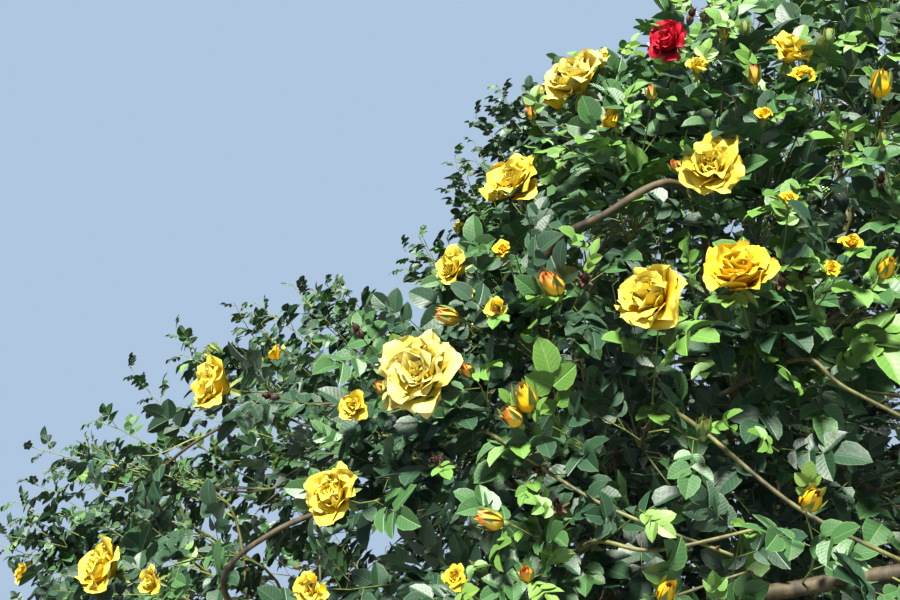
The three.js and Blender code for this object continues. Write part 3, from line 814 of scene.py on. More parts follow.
given = prickle_tree.nodes.new("NodeGroupInput").outputs
scattered = {"Mesh": given["Geometry"], "Density": given["Density"], "Seed": given["Seed"]}
places = growing("GeometryNodeDistributePointsOnFaces", scattered)
outwards = places.node.outputs["Normal"]
down = growing("ShaderNodeCombineXYZ", {"Z": given["Hook"]})
hooked = growing("ShaderNodeVectorMath", {0: outwards, 1: down}, operation="ADD")
turned = growing("FunctionNodeAlignRotationToVector", {"Vector": hooked}, axis="Z")
low, high = prickle_scales
sizes = growing("FunctionNodeRandomValue", {2: low, 3: high, "Seed": given["Seed"]}, output=1)
cone_values = {
    "Vertices": prickle_sides,
    "Radius Top": prickle_point,
    "Radius Bottom": given["Width"],
    "Depth": given["Length"],
}
cone = growing("GeometryNodeMeshCone", cone_values)
stood = {"Points": places, "Instance": cone, "Rotation": turned, "Scale": sizes}
instances = growing("GeometryNodeInstanceOnPoints", stood)
real = growing("GeometryNodeRealizeInstances", {"Geometry": instances})
finished = growing("GeometryNodeSetMaterial", {"Geometry": real, "Material": given["Finish"]})
prickle_output = prickle_tree.nodes.new("NodeGroupOutput").inputs["Geometry"]
prickle_tree.links.new(finished, prickle_output)

prickles = joined("prickles", [cane_part, bough_part, long_part], [prickle_material])
prickle_maker = prickles.modifiers.new("prickles", "NODES")
prickle_maker.node_group = prickle_tree
for label, (_, value) in prickle_inputs.items():
    prickle_maker[prickle_identifiers[label]] = value
evaluated = prickles.evaluated_get(bpy.context.evaluated_depsgraph_get())
prickle_mesh = bpy.data.meshes.new_from_object(evaluated)
prickles.modifiers.remove(prickle_maker)
prickles.data = prickle_mesh
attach(prickles, "root")

# Dead twigs
# Inside the crown, in the shade, old side twigs have died. They stay on the limbs, leafless,
# crooked and pale grey brown.

# Each row has the azimuth and elevation of its middle, its spread and the share that is bare.
crown_thinnings = [
    (-168, 42, 28, 0.82),
    (-165, 6, 43, 0.95),
    (-131, 33, 12, 0.65),
]
dead_count = 560
dead_lowest = -30
dead_shares = (0.58, 0.93)
dead_length = 0.18
dead_taper = (0.0023, 0.0008)
dead_pulls = (0.3, 0.3)
dead_steps = 8
dead_sides = 3
dead_crook = 0.014
dead_swerve = 0.7


def leaf_cover(towards):
    """The share of the shoots that grow in each direction, less where the crown is thin."""
    cover = np.ones(towards.shape[:-1])
    for thinning in crown_thinnings:
        cover = cover * (1 - bump(towards, *thinning))
    return cover


dead_towards = spread_directions(dead_count, dead_lowest, 61)
dead_towards = dead_towards[chance.random(dead_count) < leaf_cover(dead_towards)]
dead_count = len(dead_towards)
dead_reach = grown_share(dead_towards, chance.uniform(*dead_shares, dead_count))
dead_ends = crown_point(dead_towards, dead_reach)
dead_roots = nearest_wood(dead_ends - dead_towards * dead_length)
dead_starts = wood_points[dead_roots]
swerves = chance.uniform(-dead_swerve, dead_swerve, (dead_count, 3))
dead_arriving = unit(unit(dead_ends - dead_starts) + swerves)
dead_paths = arches(
    dead_starts, wood_ways[dead_roots], dead_ends, dead_arriving, dead_pulls, dead_steps
)
crooks = chance.uniform(-1, 1, dead_paths.shape) * dead_crook
crooks[:, 0] = 0
dead_paths = dead_paths + crooks
dead_material = bark_material(
    "dead_twig", (0.080, 0.060, 0.042), (0.40, 0.33, 0.24), 160.0, 0.85, 0.0006
)
dead_part = stems(dead_paths, dead_taper, dead_sides)
dead_twigs = joined("dead_twigs", [dead_part], [dead_material])
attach(dead_twigs, "root")

# Shoots
# This year's shoots are green and thin, and fill the crown with leaves in layers from its surface
# inwards. Each leaves the nearest wood and turns outwards and up to the light. Where the crown is
# thin, long sprays with small leaves reach out past the rest.

shoot_layers = [
    {"count": 1060, "from": 0.89, "to": 0.975, "first": 20},
    {"count": 660, "from": 0.74, "to": 0.89, "first": 95},
    {"count": 420, "from": 0.54, "to": 0.74, "first": 170},
    {"count": 240, "from": 0.30, "to": 0.54, "first": 250},
]
shoot_lowest = -48
shoot_length = 0.2
shoot_scatter = 0.06
shoot_unevenness = 0.03
shoot_outermost = 0.985
shoot_taper = (0.0019, 0.0009)
shoot_pulls = (0.38, 0.32)
shoot_steps = 6
shoot_sides = 3
shoot_along_wood = 0.6
shoot_lifts = (-0.3, 0.9)
shoot_swerve = 0.35
spray_regions = [
    {"count": 80, "azimuths": (-208, -146), "elevations": (-14, 54)},
    {"count": 15, "azimuths": (-196, -158), "elevations": (62, 72)},
    {"count": 6, "azimuths": (-163, -155), "elevations": (32, 42)},
    {"count": 6, "azimuths": (-177, -166), "elevations": (5, 14)},
]
spray_shares = (0.88, 1.02)
spray_hollow_part = 0.25
spray_length = 0.36

layers = []
for number, layer in enumerate(shoot_layers):
    towards = spread_directions(layer["count"], shoot_lowest, layer["first"])
    towards = unit(towards + shoot_scatter * chance.uniform(-1, 1, towards.shape))
    swell = shoot_unevenness * lumps(towards * 3.1)
    shares = chance.uniform(layer["from"], layer["to"], layer["count"]) + swell
    shares = grown_share(towards, np.minimum(shares, shoot_outermost))
    layers.append((towards, shares, np.full(layer["count"], number)))
shoot_towards, shoot_shares, shoot_layer = (np.concatenate(values) for values in zip(*layers))
kept = chance.random(len(shoot_towards)) < leaf_cover(shoot_towards)

spray_towards = []
for region in spray_regions:
    spray_turns = chance.uniform(*region["azimuths"], region["count"])
    spray_heights = chance.uniform(*np.sin(np.radians(region["elevations"])), region["count"])
    spray_towards.append(direction(spray_turns, np.degrees(np.arcsin(spray_heights))))
spray_towards = np.concatenate(spray_towards)
spray_count = len(spray_towards)
spray_reach = chance.uniform(*spray_shares, spray_count)
spray_sunk = grown_share(spray_towards, spray_reach)
spray_reach = spray_reach + (spray_sunk - spray_reach) * spray_hollow_part

shoot_towards = np.concatenate([tip_towards, shoot_towards[kept], spray_towards])
shoot_shares = np.concatenate([tip_shares, shoot_shares[kept], spray_reach])
shoot_layer = np.concatenate(
    [np.zeros(len(tips), int), shoot_layer[kept], np.zeros(spray_count, int)]
)
is_spray = np.arange(len(shoot_towards)) >= len(shoot_towards) - spray_count

shoot_ends = crown_point(shoot_towards, shoot_shares)
shoot_lengths = np.where(is_spray, spray_length, shoot_length)[:, None]
shoot_roots = nearest_wood(shoot_ends - shoot_towards * shoot_lengths)
shoot_starts = wood_points[shoot_roots]
shoot_ahead = unit(shoot_ends - shoot_starts)
lifts = chance.uniform(*shoot_lifts, len(shoot_towards))
shoot_arriving = shoot_towards + upwards * lifts[:, None]
shoot_arriving = shoot_arriving + shoot_swerve * chance.uniform(-1, 1, shoot_arriving.shape)
shoot_paths = arches(
    shoot_starts,
    unit(shoot_along_wood * wood_ways[shoot_roots] + shoot_ahead),
    shoot_ends,
    unit(shoot_arriving + shoot_ahead),
    shoot_pulls,
    shoot_steps,
)
shoot_material = bark_material(
    "green_shoot", (0.085, 0.120, 0.028), (0.20, 0.26, 0.065), 140.0, 0.5, 0.0004
)
shoot_part = stems(shoot_paths, shoot_taper, shoot_sides)
shoots = joined("shoots", [shoot_part], [shoot_material])
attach(shoots, "root")

# Leaves
# A rose leaf is five or seven leaflets in pairs on one thin stalk with a single one at its end.
# The leaflets are oval, pointed, folded along the midrib and glossy, and turn up to the light.

leaf_spacing = 0.033
spray_leaf_spacing = 0.023
leaf_first_share = 0.2
leaf_last_share = 0.98
least_leaves = 3
young_from = 0.9
stalk_length = 0.070
leaflet_length = 0.040
stalk_taper = (0.0008, 0.0005)
stalk_sides = 3
pair_places = {2: (0.46, 0.80), 3: (0.34, 0.60, 0.85)}
pair_sizes = {2: (0.80, 0.96), 3: (0.68, 0.86, 0.97)}
outer_outline = [(0.60, 0.07), (0.97, 0.29), (0.95, 0.56), (0.56, 0.84)]
inner_outline = [(1.0, 0.45)]
blade_outlines = [outer_outline, [(0.95, 0.28), (0.85, 0.66)], inner_outline, inner_outline]
inner_growth = 0.09
spray_leaf_size = 0.62
leaf_unevenness = (0.78, 1.16)
leaflet_scatter = 0.16
leaflet_tilt = 0.34
leaflet_unevenness = (0.88, 1.12)
leaflet_widths = (0.70, 0.86)
leaflet_folds = (0.10, 0.60)
leaflet_curls = (0.02, 0.34)
spray_leaflet_curl = 0.2
leaf_droops = (0.05, 0.35)
seven_leaflets_part = 0.3
pair_swings = (50, 70)
farthest_leaf_tip = 1.045
past_cad_box = 0.02
lowest_leaf = 0.1
thin_from = 0.3
leaf_relief = 0.5
leaf_relief_depth = 0.0009
leaf_gloss = 0.6

# Each kind of leaf has the colours of its blade, ribs and margin, and its roughness. The darkest
# kind is a real dark green that is also dealt out as painted shade, and the fresh yellow-green kind
# is a real young green that is also dealt out as painted sunlight.
leaf_finishes = {
    "deep_and_shaded": ((0.012, 0.046, 0.020), (0.052, 0.115, 0.052), (0.050, 0.105, 0.045), 0.50),
    "plain": ((0.032, 0.100, 0.027), (0.100, 0.21, 0.070), (0.085, 0.185, 0.050), 0.50),
    "fresh_and_sunlit": ((0.084, 0.200, 0.028), (0.16, 0.30, 0.07), (0.150, 0.28, 0.050), 0.52),
    "young": ((0.120, 0.240, 0.035), (0.20, 0.32, 0.08), (0.16, 0.22, 0.040), 0.52),
}
leaf_kinds = list(leaf_finishes)

# For each part of the crown: its kinds of leaf, each picked by a draw below its number. The light
# part's lighter kinds are painted sunlight, and the darker kinds of the shade part and the sprays
# are painted shade.
leaf_choices = {
    "spray": [("fresh_and_sunlit", 0.06), ("plain", 0.36), ("deep_and_shaded", 1)],
    "tip": [("young", 0.18), ("fresh_and_sunlit", 1)],
    "light": [("fresh_and_sunlit", 0.7), ("plain", 1)],
    "middle": [("plain", 0.7), ("deep_and_shaded", 0.9), ("fresh_and_sunlit", 1)],
    "shade": [("deep_and_shaded", 0.8), ("plain", 1)],
}
light_below = 0.08
middle_below = 0.5

leaves = []
for path, towards, layer, airy in zip(shoot_paths, shoot_towards, shoot_layer, is_spray):
    length = np.sum(np.linalg.norm(np.diff(path, axis=0), axis=1))
    spacing = spray_leaf_spacing if airy else leaf_spacing
    count = max(least_leaves, int((1 - leaf_first_share) * length / spacing))
    shares = np.linspace(leaf_first_share, leaf_last_share, count)
    # Painted light and shade: the tone starts from a random draw, and leaves that face up are made
    # lighter while those of inner layers and thin places are made darker.
    painted_top_light = np.clip((math.degrees(math.asin(towards[2])) - 15) / 40, 0, 1)
    thin = 1 - leaf_cover(towards)
    tone_and_painted_shade = chance.random() - 0.3 * painted_top_light + 0.25 * layer + 0.7 * thin
    spiral = math.radians(golden_angle) * np.arange(count) + chance.uniform(0, 6.28)
    for share, turn in zip(shares, spiral):
        base = point_on(path, share)
        ahead = unit(point_on(path, min(share + 0.05, 1)) - point_on(path, share - 0.05))
        side = unit(np.cross(ahead, [0.2, 0.3, 1.0]))
        over = np.cross(ahead, side)
        aside = side * math.cos(turn) + over * math.sin(turn)
        away = aside + 0.5 * ahead + 0.4 * towards + 0.1 * upwards
        young = share > young_from and layer == 0
        size = 0.6 if young else 0.80 + 0.28 * math.sin(math.pi * share)
        size = size * (1 + inner_growth * layer) * (spray_leaf_size if airy else 1)
        size = size * chance.uniform(*leaf_unevenness)
        pick = chance.random()
        if airy:
            choices = leaf_choices["spray"]
        elif young and thin < thin_from:
            choices = leaf_choices["tip"]
        elif tone_and_painted_shade < light_below:
            choices = leaf_choices["light"]
        else:
            choices = leaf_choices["middle" if tone_and_painted_shade < middle_below else "shade"]
        kind = next(kind for kind, below in choices if pick < below)
        leaves.append((base, unit(away), towards, size, layer, airy, leaf_kinds.index(kind)))
leaf_base, leaf_ahead, leaf_out, leaf_scale, leaf_layer, leaf_airy, leaf_kind = (
    np.array(values) for values in zip(*leaves)
)
leaf_count = len(leaves)

leaf_light = leaf_out * 0.8 + upwards * 0.65 + 0.5 * chance.uniform(-1, 1, (leaf_count, 3))
leaf_normal = unit(along_plane(unit(leaf_light), leaf_ahead))
leaf_droop = chance.uniform(*leaf_droops, (leaf_count, 1))
leaf_way = unit(leaf_ahead - upwards * leaf_droop)
stalk_ends = leaf_base + leaf_way * (stalk_length * leaf_scale)[:, None]
leaf_side = unit(np.cross(leaf_way, leaf_normal))

pairs = np.where(chance.random(leaf_count) < seven_leaflets_part, 3, 2)
blades = [(stalk_ends, leaf_way, leaf_scale, np.arange(leaf_count))]
for pair_count in (2, 3):
    chosen = np.flatnonzero(pairs == pair_count)
    for along, size in zip(pair_places[pair_count], pair_sizes[pair_count]):
        for hand in (1, -1):
            swing = np.radians(chance.uniform(*pair_swings, (len(chosen), 1)))
            sideways = hand * leaf_side[chosen] * np.sin(swing)
            spot = leaf_base[chosen] * (1 - along) + stalk_ends[chosen] * along
            way = leaf_way[chosen] * np.cos(swing) + sideways
            blades.append((spot, way, leaf_scale[chosen] * size, chosen))
spots, ways, sizes, owners = (np.concatenate(values) for values in zip(*blades))


def crown_share(points):
    """How far out the points are, as a share of the crown's reach there."""
    away = points - heart
    return np.linalg.norm(away, axis=-1) / crown_reach(unit(away))


def leaflets(outline, bases, along, facing, lengths, widths, folds, curls):
    """Pointed oval blades in two smooth halves, folded up along the midrib and curled down.
    The outline has the places of the edge's points on one side, as shares of width and length."""
    side = np.array([[0.0, 0.0], [0.0, 0.5], [0.0, 1.0], *outline])
    flat = np.concatenate([side, side * np.array([-1, 1])])
    edge = [0, *range(3, len(side)), 2]
    half = np.array([[near, far, 1] for near, far in zip(edge, edge[1:])])
    faces = np.concatenate([half, half[:, ::-1] + len(side)])
    facing = unit(along_plane(facing, along))
    across = np.cross(along, facing)
    x = flat[:, 0][None, :, None] * (widths * lengths * 0.5)[:, None, None]
    y = flat[:, 1][None, :, None] * lengths[:, None, None]
    lift = np.abs(x) * folds[:, None, None]
    drop = curls[:, None, None] * y**2 / lengths[:, None, None]
    points = bases[:, None] + across[:, None] * x + along[:, None] * y
    points = points + facing[:, None] * (lift - drop)
    blade = np.stack([0.5 + 0.5 * flat[:, 0], flat[:, 1]], axis=1)
    part = several(points, faces)
    part["blade"] = np.tile(blade, (len(bases), 1))
    part["each"] = len(faces)
    return part


count = len(spots)
leaflet_ways = unit(ways + leaflet_scatter * chance.uniform(-1, 1, (count, 3)))
leaflet_facing = leaf_normal[owners] + leaflet_tilt * chance.uniform(-1, 1, (count, 3))
blade_values = {
    "bases": spots,
    "along": leaflet_ways,
    "facing": unit(leaflet_facing),
    "lengths": leaflet_length * sizes * chance.uniform(*leaflet_unevenness, count),
    "widths": chance.uniform(*leaflet_widths, count),
    "folds": chance.uniform(*leaflet_folds, count),
    "curls": chance.uniform(*leaflet_curls, count) + spray_leaflet_curl * leaf_airy[owners],
}
leaflet_ends = spots + leaflet_ways * blade_values["lengths"][:, None]
low, high = (np.array(corner) for corner in cad_box)
fits = crown_share(leaflet_ends) < farthest_leaf_tip
fits &= np.all(leaflet_ends > low - past_cad_box, axis=1)
fits &= np.all(leaflet_ends < high + past_cad_box, axis=1)
fits &= spots[:, 2] > lowest_leaf
leaf_mass = nearest_mass(leaf_base)

leaf_group, given = pattern_group(
    "leaf_pattern",
    Blade=(0.03, 0.07, 0.02),
    Rib=(0.1, 0.15, 0.05),
    Margin=(0.02, 0.05, 0.015),
    Veins=7.0,
)
flat_map = shading(leaf_group, "UVMap", {}, uv_map="blade")
across, along, _ = shading(leaf_group, "SeparateXYZ", {0: flat_map}).node.outputs
aside = maths(leaf_group, "ABSOLUTE", maths(leaf_group, "SUBTRACT", across, 0.5))
rib = ranged(leaf_group, aside, 0.008, 0.035, 1.0, 0.0)
slant = maths(leaf_group, "MULTIPLY_ADD", aside, -0.62, along)
phase = maths(leaf_group, "FRACT", maths(leaf_group, "MULTIPLY", slant, given["Veins"]))
vein_away = maths(leaf_group, "ABSOLUTE", maths(leaf_group, "SUBTRACT", phase, 0.5))
vein = ranged(leaf_group, vein_away, 0.02, 0.14, 0.3, 0.0)
lines = maths(leaf_group, "MAXIMUM", rib, vein)
narrowed = maths(leaf_group, "POWER", maths(leaf_group, "SUBTRACT", along, 0.42), 2.0)
half_width = maths(leaf_group, "MULTIPLY_ADD", narrowed, -1.35, 0.49)
# The margin colour towards the rim, paler than the blade, is a painted highlight along the edge.
edge = ranged(leaf_group, maths(leaf_group, "DIVIDE", aside, half_width), 0.84, 1.0)
towards_lit_edge = colour_between(leaf_group, edge, given["Blade"], given["Margin"])
ribbed = colour_between(leaf_group, lines, towards_lit_edge, given["Rib"])
swell = ranged(leaf_group, vein_away, 0.0, 0.5)
swell.node.interpolation_type = "SMOOTHSTEP"
puckers = shading(leaf_group, "TexNoise", {"Vector": flat_map, "Scale": 7.0, "Detail": 2.0})
quilted = maths(leaf_group, "MULTIPLY_ADD", swell, 0.2, puckers)
put_out(leaf_group, ribbed, maths(leaf_group, "SUBTRACT", quilted, rib))

leaf_materials = []
# The third colour of each kind is the painted highlight along the leaf's margin.
for kind, (blade, rib_colour, lit_edge, roughness) in leaf_finishes.items():
    name = f"{kind}_leaf"
    values = {"Blade": blade, "Rib": rib_colour, "Margin": lit_edge}
    relief = (leaf_relief, leaf_relief_depth)
    leaf_materials.append(patterned(name, leaf_group, values, *relief, roughness, leaf_gloss))

leaf_pieces = [
    ("top_leaves", 1, 2),
    ("top_leaves", 3, 4),
    ("shoulder_leaves", 1, 2),
    ("shoulder_leaves", 3, 4),
    ("shoulder_leaves", 5, 7),
    ("belt_leaves", 1, 4),
    ("belt_leaves", 5, 8),
    ("skirt_leaves", 1, 4),
    ("skirt_leaves", 5, 7),
]
for ring_name, first, last in leaf_pieces:
    nodes = [f"{ring_name}_{i}" for i in range(first, last + 1)]
    numbers = np.flatnonzero(np.isin(mass_names, nodes))
    here = fits & np.isin(leaf_mass[owners], numbers)
    parts = []
    for layer, outline in enumerate(blade_outlines):
        chosen = here & (leaf_layer[owners] == layer)
        values = {label: value[chosen] for label, value in blade_values.items()}
        part = leaflets(outline, **values)
        part["tints"] = leaf_kind[owners[chosen]].repeat(part["each"])
        parts.append(part)
    piece = joined(f"{ring_name}_{first}_to_{last}", parts, leaf_materials)
    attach(piece, "root")
    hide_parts(*nodes)

stalk_paths = np.stack([leaf_base, stalk_ends], axis=1)
stalk_part = stems(stalk_paths, stalk_taper, stalk_sides)
stalks = joined("leaf_stalks", [stalk_part], [shoot_material])
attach(stalks, "root")

# Blooms
# The blooms are loose double roses about ten centimetres across, of some thirty thin ruffled
# petals, clear yellow that pales to the rim. The outer petals lie open and the inner ones stand.

bloom_makes = {
    "full": {"petals": 36, "rows": 8, "columns": 9},
    "plain": {"petals": 28, "rows": 6, "columns": 6},
    "small": {"petals": 18, "rows": 6, "columns": 6},
}
small_bloom = 0.065
petal_length = 0.52
petal_shortening = 0.42
petal_lengths = (0.86, 1.10)
petal_widths = (0.70, 0.88)
petal_leans = (74, 46, 10)
petal_bends = (8, -22, -34)
petal_unevenness = 12
petal_rolls = (10, 85)
petal_twist = 22
petal_wave = 0.09
petal_rim = 0.62
petal_rough = 0.55
petal_gloss = 0.15
petal_relief = 0.35
petal_relief_depth = 0.0008


def grid_faces(rows, columns):
    row, column = np.meshgrid(np.arange(rows - 1), np.arange(columns - 1), indexing="ij")
    a = (row * columns + column).ravel()
    left = np.stack([a, a + columns + 1, a + 1], 1)
    right = np.stack([a, a + columns, a + columns + 1], 1)
    return np.concatenate([left, right])


def flower_frame(axis):
    """Two directions across the axis of a flower."""
    across = unit(np.cross(axis, [0.31, 0.2, 0.93]))
    return across, np.cross(axis, across)


def petal_part(points, u, v):
    """Rows of petal points as one part, with its blade map."""
    part = several(points.reshape(len(points), -1, 3), grid_faces(len(v), len(u)))
    blade = np.stack(np.meshgrid(0.5 + 0.5 * u, v), axis=-1).reshape(-1, 2)
    part["blade"] = np.tile(blade, (len(points), 1))
    return part


def open_petals(centre, axis, size, openness, make):
    """The petals of an open bloom as bent grids, from the outermost to the innermost. Each goes
    out and up from the cup, is hollow like a spoon, and rolls back and ruffles towards its rim."""
    count = make["petals"]
    rank = np.linspace(0, 1, count)
    turn = np.radians(golden_angle) * np.arange(count) + chance.uniform(-0.5, 0.5, count)
    lengths = petal_length * size * (1 - petal_shortening * rank**1.3)
    lengths = lengths * chance.uniform(*petal_lengths, count)
    widths = lengths * chance.uniform(*petal_widths, count)
    outer, middle, inner = petal_leans
    lean = np.interp(rank, (0, 0.35, 1), (outer * openness, middle * openness, inner))
    lean = np.radians(lean + chance.uniform(-petal_unevenness, petal_unevenness, count))
    bend = np.interp(rank, (0, 0.5, 1), petal_bends)
    bend = np.radians(bend + chance.uniform(-petal_unevenness, petal_unevenness, count))
    roll = np.radians(chance.uniform(*petal_rolls, count) * (1 - 0.45 * rank))
    v = np.linspace(0, 1, make["rows"])
    u = np.linspace(-1, 1, make["columns"])
    rim = np.clip((v - petal_rim) / (1 - petal_rim), 0, 1)
    slope = lean[:, None] + bend[:, None] * v + roll[:, None] * rim**1.5
    step = lengths[:, None] / (len(v) - 1)
    foot = np.zeros((count, 1))
    outward = np.concatenate([foot, np.cumsum(np.sin(slope[:, 1:]) * step, 1)], 1)
    upward = np.concatenate([foot, np.cumsum(np.cos(slope[:, 1:]) * step, 1)], 1)
    outward = outward + 0.04 * size
    upward = upward + 0.05 * size * rank[:, None]
    breadth = 0.22 + 0.78 * np.sin(0.5 * math.pi * np.minimum(1, v * 1.35)) ** 0.9
    breadth = breadth * np.sqrt(1 - 0.55 * np.clip((v - 0.72) / 0.28, 0, 1) ** 2.5)
    half = (widths[:, None] * 0.62 * breadth)[..., None]
    side = half * u
    rows = v[None, :, None]
    long = lengths[:, None, None]
    rounding = long * rows**3 * (0.22 * u**2 - 0.03 * np.cos(1.5 * math.pi * u) ** 2)
    cup = (0.30 + 0.25 * rank)[:, None, None] * half * u**2 * (1 - 0.5 * rows**3)
    phases = chance.uniform(0, 2 * math.pi, (3, count, 1, 1))
    ruffle = 0.7 * np.sin(1.8 * u * math.pi + phases[0]) + np.sin(u * math.pi + phases[1])
    ruffle = ruffle + 0.5 * np.sin(3.0 * rows * math.pi + phases[2])
    rise = cup + ruffle * petal_wave * long * rows**2
    twist = np.radians(chance.uniform(-petal_twist, petal_twist, count))[:, None, None] * rows
    aside = side * np.cos(twist) - rise * np.sin(twist)
    rise = rise * np.cos(twist) + side * np.sin(twist)
    across, over = flower_frame(axis)
    radial = np.cos(turn)[:, None] * across + np.sin(turn)[:, None] * over
    tangent = np.cross(axis, radial)
    sine = np.sin(slope)[..., None]
    cosine = np.cos(slope)[..., None]
    out = outward[..., None] - cosine * rise - sine * rounding
    up = upward[..., None] + sine * rise - cosine * rounding
    points = centre + axis * up[..., None]
    points = points + radial[:, None, None] * out[..., None]
    points = points + tangent[:, None, None] * aside[..., None]
    return petal_part(points, u, v)


bud_petals = 8
head_petals = 4
head_petal_size = 1.3
bud_rows = 7
bud_columns = 6
bud_half_turn = 78
bud_slimness = 0.35


def wrapped_petals(centre, axis, length, count):
    """The petals of a bud, wound round each other to a point, with rims that begin to fold out."""
    rank = np.linspace(0, 1, count)
    turn = np.radians(golden_angle) * np.arange(count) + chance.uniform(0, 2 * math.pi)
    v = np.linspace(0, 1, bud_rows)
    u = np.linspace(-1, 1, bud_columns)
    rows = v[None, :, None]
    belly = 0.30 + 0.70 * np.sin(math.pi * rows**0.72)
    fold = chance.uniform(0, 0.75, count) * (1 - rank)
    belly = belly + fold[:, None, None] * np.clip((rows - 0.7) / 0.3, 0, 1) ** 1.5
    girth = length * bud_slimness * (1.04 - 0.38 * rank)[:, None, None]
    radius = girth * belly * (1 + 0.10 * u)
    angle = turn[:, None, None] + np.radians(bud_half_turn) * u * (1 - 0.5 * rows**2)
    tall = length * chance.uniform(0.88, 1.06, count)[:, None, None]
    up = tall * rows * (1 - 0.14 * u**2 * rows) + 0 * radius
    across, over = flower_frame(axis)
    points = centre + axis * up[..., None]
    points = points + across * (np.cos(angle) * radius)[..., None]
    points = points + over * (np.sin(angle) * radius)[..., None]
    return petal_part(points, u, v)


petal_group, given = pattern_group(
    "petal_pattern", Heart=(0.8, 0.5, 0.03), Middle=(0.85, 0.65, 0.06), Rim=(0.9, 0.8, 0.3)
)
flat_map = shading(petal_group, "UVMap", {}, uv_map="blade")
across, along, _ = shading(petal_group, "SeparateXYZ", {0: flat_map}).node.outputs
past_heart = ranged(petal_group, along, 0.0, 0.5)
past_middle = ranged(petal_group, along, 0.55, 1.0)
inner = colour_between(petal_group, past_heart, given["Heart"], given["Middle"])
whole = colour_between(petal_group, past_middle, inner, given["Rim"])
drawn = shading(petal_group, "Mapping", {"Vector": flat_map, "Scale": (14, 1.4, 1)})
streaks = shading(petal_group, "TexNoise", {"Vector": drawn, "Scale": 1.5, "Detail": 3.0})
put_out(petal_group, whole, streaks)

# Each kind of petal has the colours of its heart, its middle and its rim.
petal_colours = {
    "lemon": ((0.70, 0.39, 0.005), (0.68, 0.48, 0.01), (0.68, 0.57, 0.09)),
    "cream": ((0.72, 0.48, 0.01), (0.69, 0.55, 0.04), (0.69, 0.61, 0.20)),
    "golden": ((0.70, 0.31, 0.005), (0.69, 0.40, 0.005), (0.69, 0.51, 0.04)),
    "crimson": ((0.20, 0.00, 0.01), (0.38, 0.003, 0.014), (0.44, 0.01, 0.03)),
    "flushed": ((0.78, 0.48, 0.02), (0.76, 0.40, 0.04), (0.74, 0.26, 0.08)),
    "green": ((0.08, 0.15, 0.04), (0.13, 0.22, 0.06), (0.24, 0.25, 0.08)),
    "spent": ((0.05, 0.022, 0.016), (0.035, 0.018, 0.014), (0.09, 0.05, 0.035)),
}
petal_kinds = list(petal_colours)
petal_materials = []
for kind, colours in petal_colours.items():
    name = f"{kind}_petal"
    values = dict(zip(("Heart", "Middle", "Rim"), colours))
    relief = (petal_relief, petal_relief_depth)
    petal_materials.append(patterned(name, petal_group, values, *relief, petal_rough, petal_gloss))

flower_parts = []
flower_ends = shoot_paths[: len(tips), -1]
flower_axes = unit(flower_ends - shoot_paths[: len(tips), -2])
for i, tip in enumerate(tips):
    end = flower_ends[i]
    size = tip["size"]
    facing = direction(*tip["face"]) if "face" in tip else tip["at"] + 0.3 * upwards
    if tip["part"] == "bloom":
        flower_axes[i] = unit(facing + 0.12 * flower_axes[i])
        make = "small" if size < small_bloom else "full" if "face" in tip else "plain"
        part = open_petals(end, flower_axes[i], size, tip["open"], bloom_makes[make])
    elif tip["part"] == "bud":
        flower_axes[i] = unit(0.4 * flower_axes[i] + facing)
        part = wrapped_petals(end, flower_axes[i], size, bud_petals)
    else:
        part = wrapped_petals(end, flower_axes[i], size * head_petal_size, head_petals)
        tip["kind"] = "spent"
    part["tints"] = np.full(len(part["faces"]), petal_kinds.index(tip["kind"]))
    flower_parts.append(part)
blooms = joined("blooms", flower_parts, petal_materials)
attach(blooms, "root")

# Stamens
# An open bloom shows a ring of fine golden threads at its heart, each with a thicker tip. Buds
# and half open blooms hide them.

stamen_count = 26
stamen_length = 0.011
stamen_radii = np.array([[0.0003, 0.0002, 0.0009, 0.0006]])
stamen_least_open = 0.7
stamen_lean = 0.7
stamen_bends = np.array([0, 0.55, 0.9, 1.0])
stamen_sides = 3

stamen_paths = []
for tip, end, axis in zip(tips, flower_ends, flower_axes):
    if tip["part"] == "bloom" and tip["open"] >= stamen_least_open:
        across, over = flower_frame(axis)
        numbers = np.arange(stamen_count)
        turns = np.radians(golden_angle) * numbers
        leans = np.sqrt((numbers + 0.5) / stamen_count) * stamen_lean
        radial = np.cos(turns)[:, None] * across + np.sin(turns)[:, None] * over
        ways = unit(axis + radial * leans[:, None])
        foot = end + axis * 0.12 * tip["size"] + radial * 0.05 * tip["size"] * leans[:, None]
        reach = stamen_bends * stamen_length
        stamen_paths.append(foot[:, None] + ways[:, None] * reach[:, None])
stamen_part = several(*tubes(np.concatenate(stamen_paths), stamen_radii, stamen_sides))
stamen_material = bark_material(
    "stamen_gold", (0.28, 0.07, 0.01), (0.62, 0.34, 0.03), 300.0, 0.6, 0.0002
)
stamens = joined("stamens", [stamen_part], [stamen_material])
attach(stamens, "root")

# Cups, sepals and spent heads
# Under each flower is a green cup with five pointed sepals, laid back under a bloom and folded
# round a bud. Where the petals have dropped, the cup swells to a small brown hip.

cup_profile = np.array([0.25, 0.75, 1.0, 0.95, 0.55])
cup_places = np.array([-1.0, -0.75, -0.4, -0.1, 0.05])
cup_length = 2.4
cup_sides = 7
cup_radii_by_part = {"bloom": 0.0055, "bud": 0.0045}
sepal_count = 5
sepal_width = 0.34
sepal_fold = 0.4

# For each part: the length of a sepal as a share of the flower's size, its lift and its curl.
sepal_makes = {"bloom": (0.27, -0.35, 0.2), "bud": (0.85, 0.75, 0.75), "head": (0.9, 0.5, 0.2)}

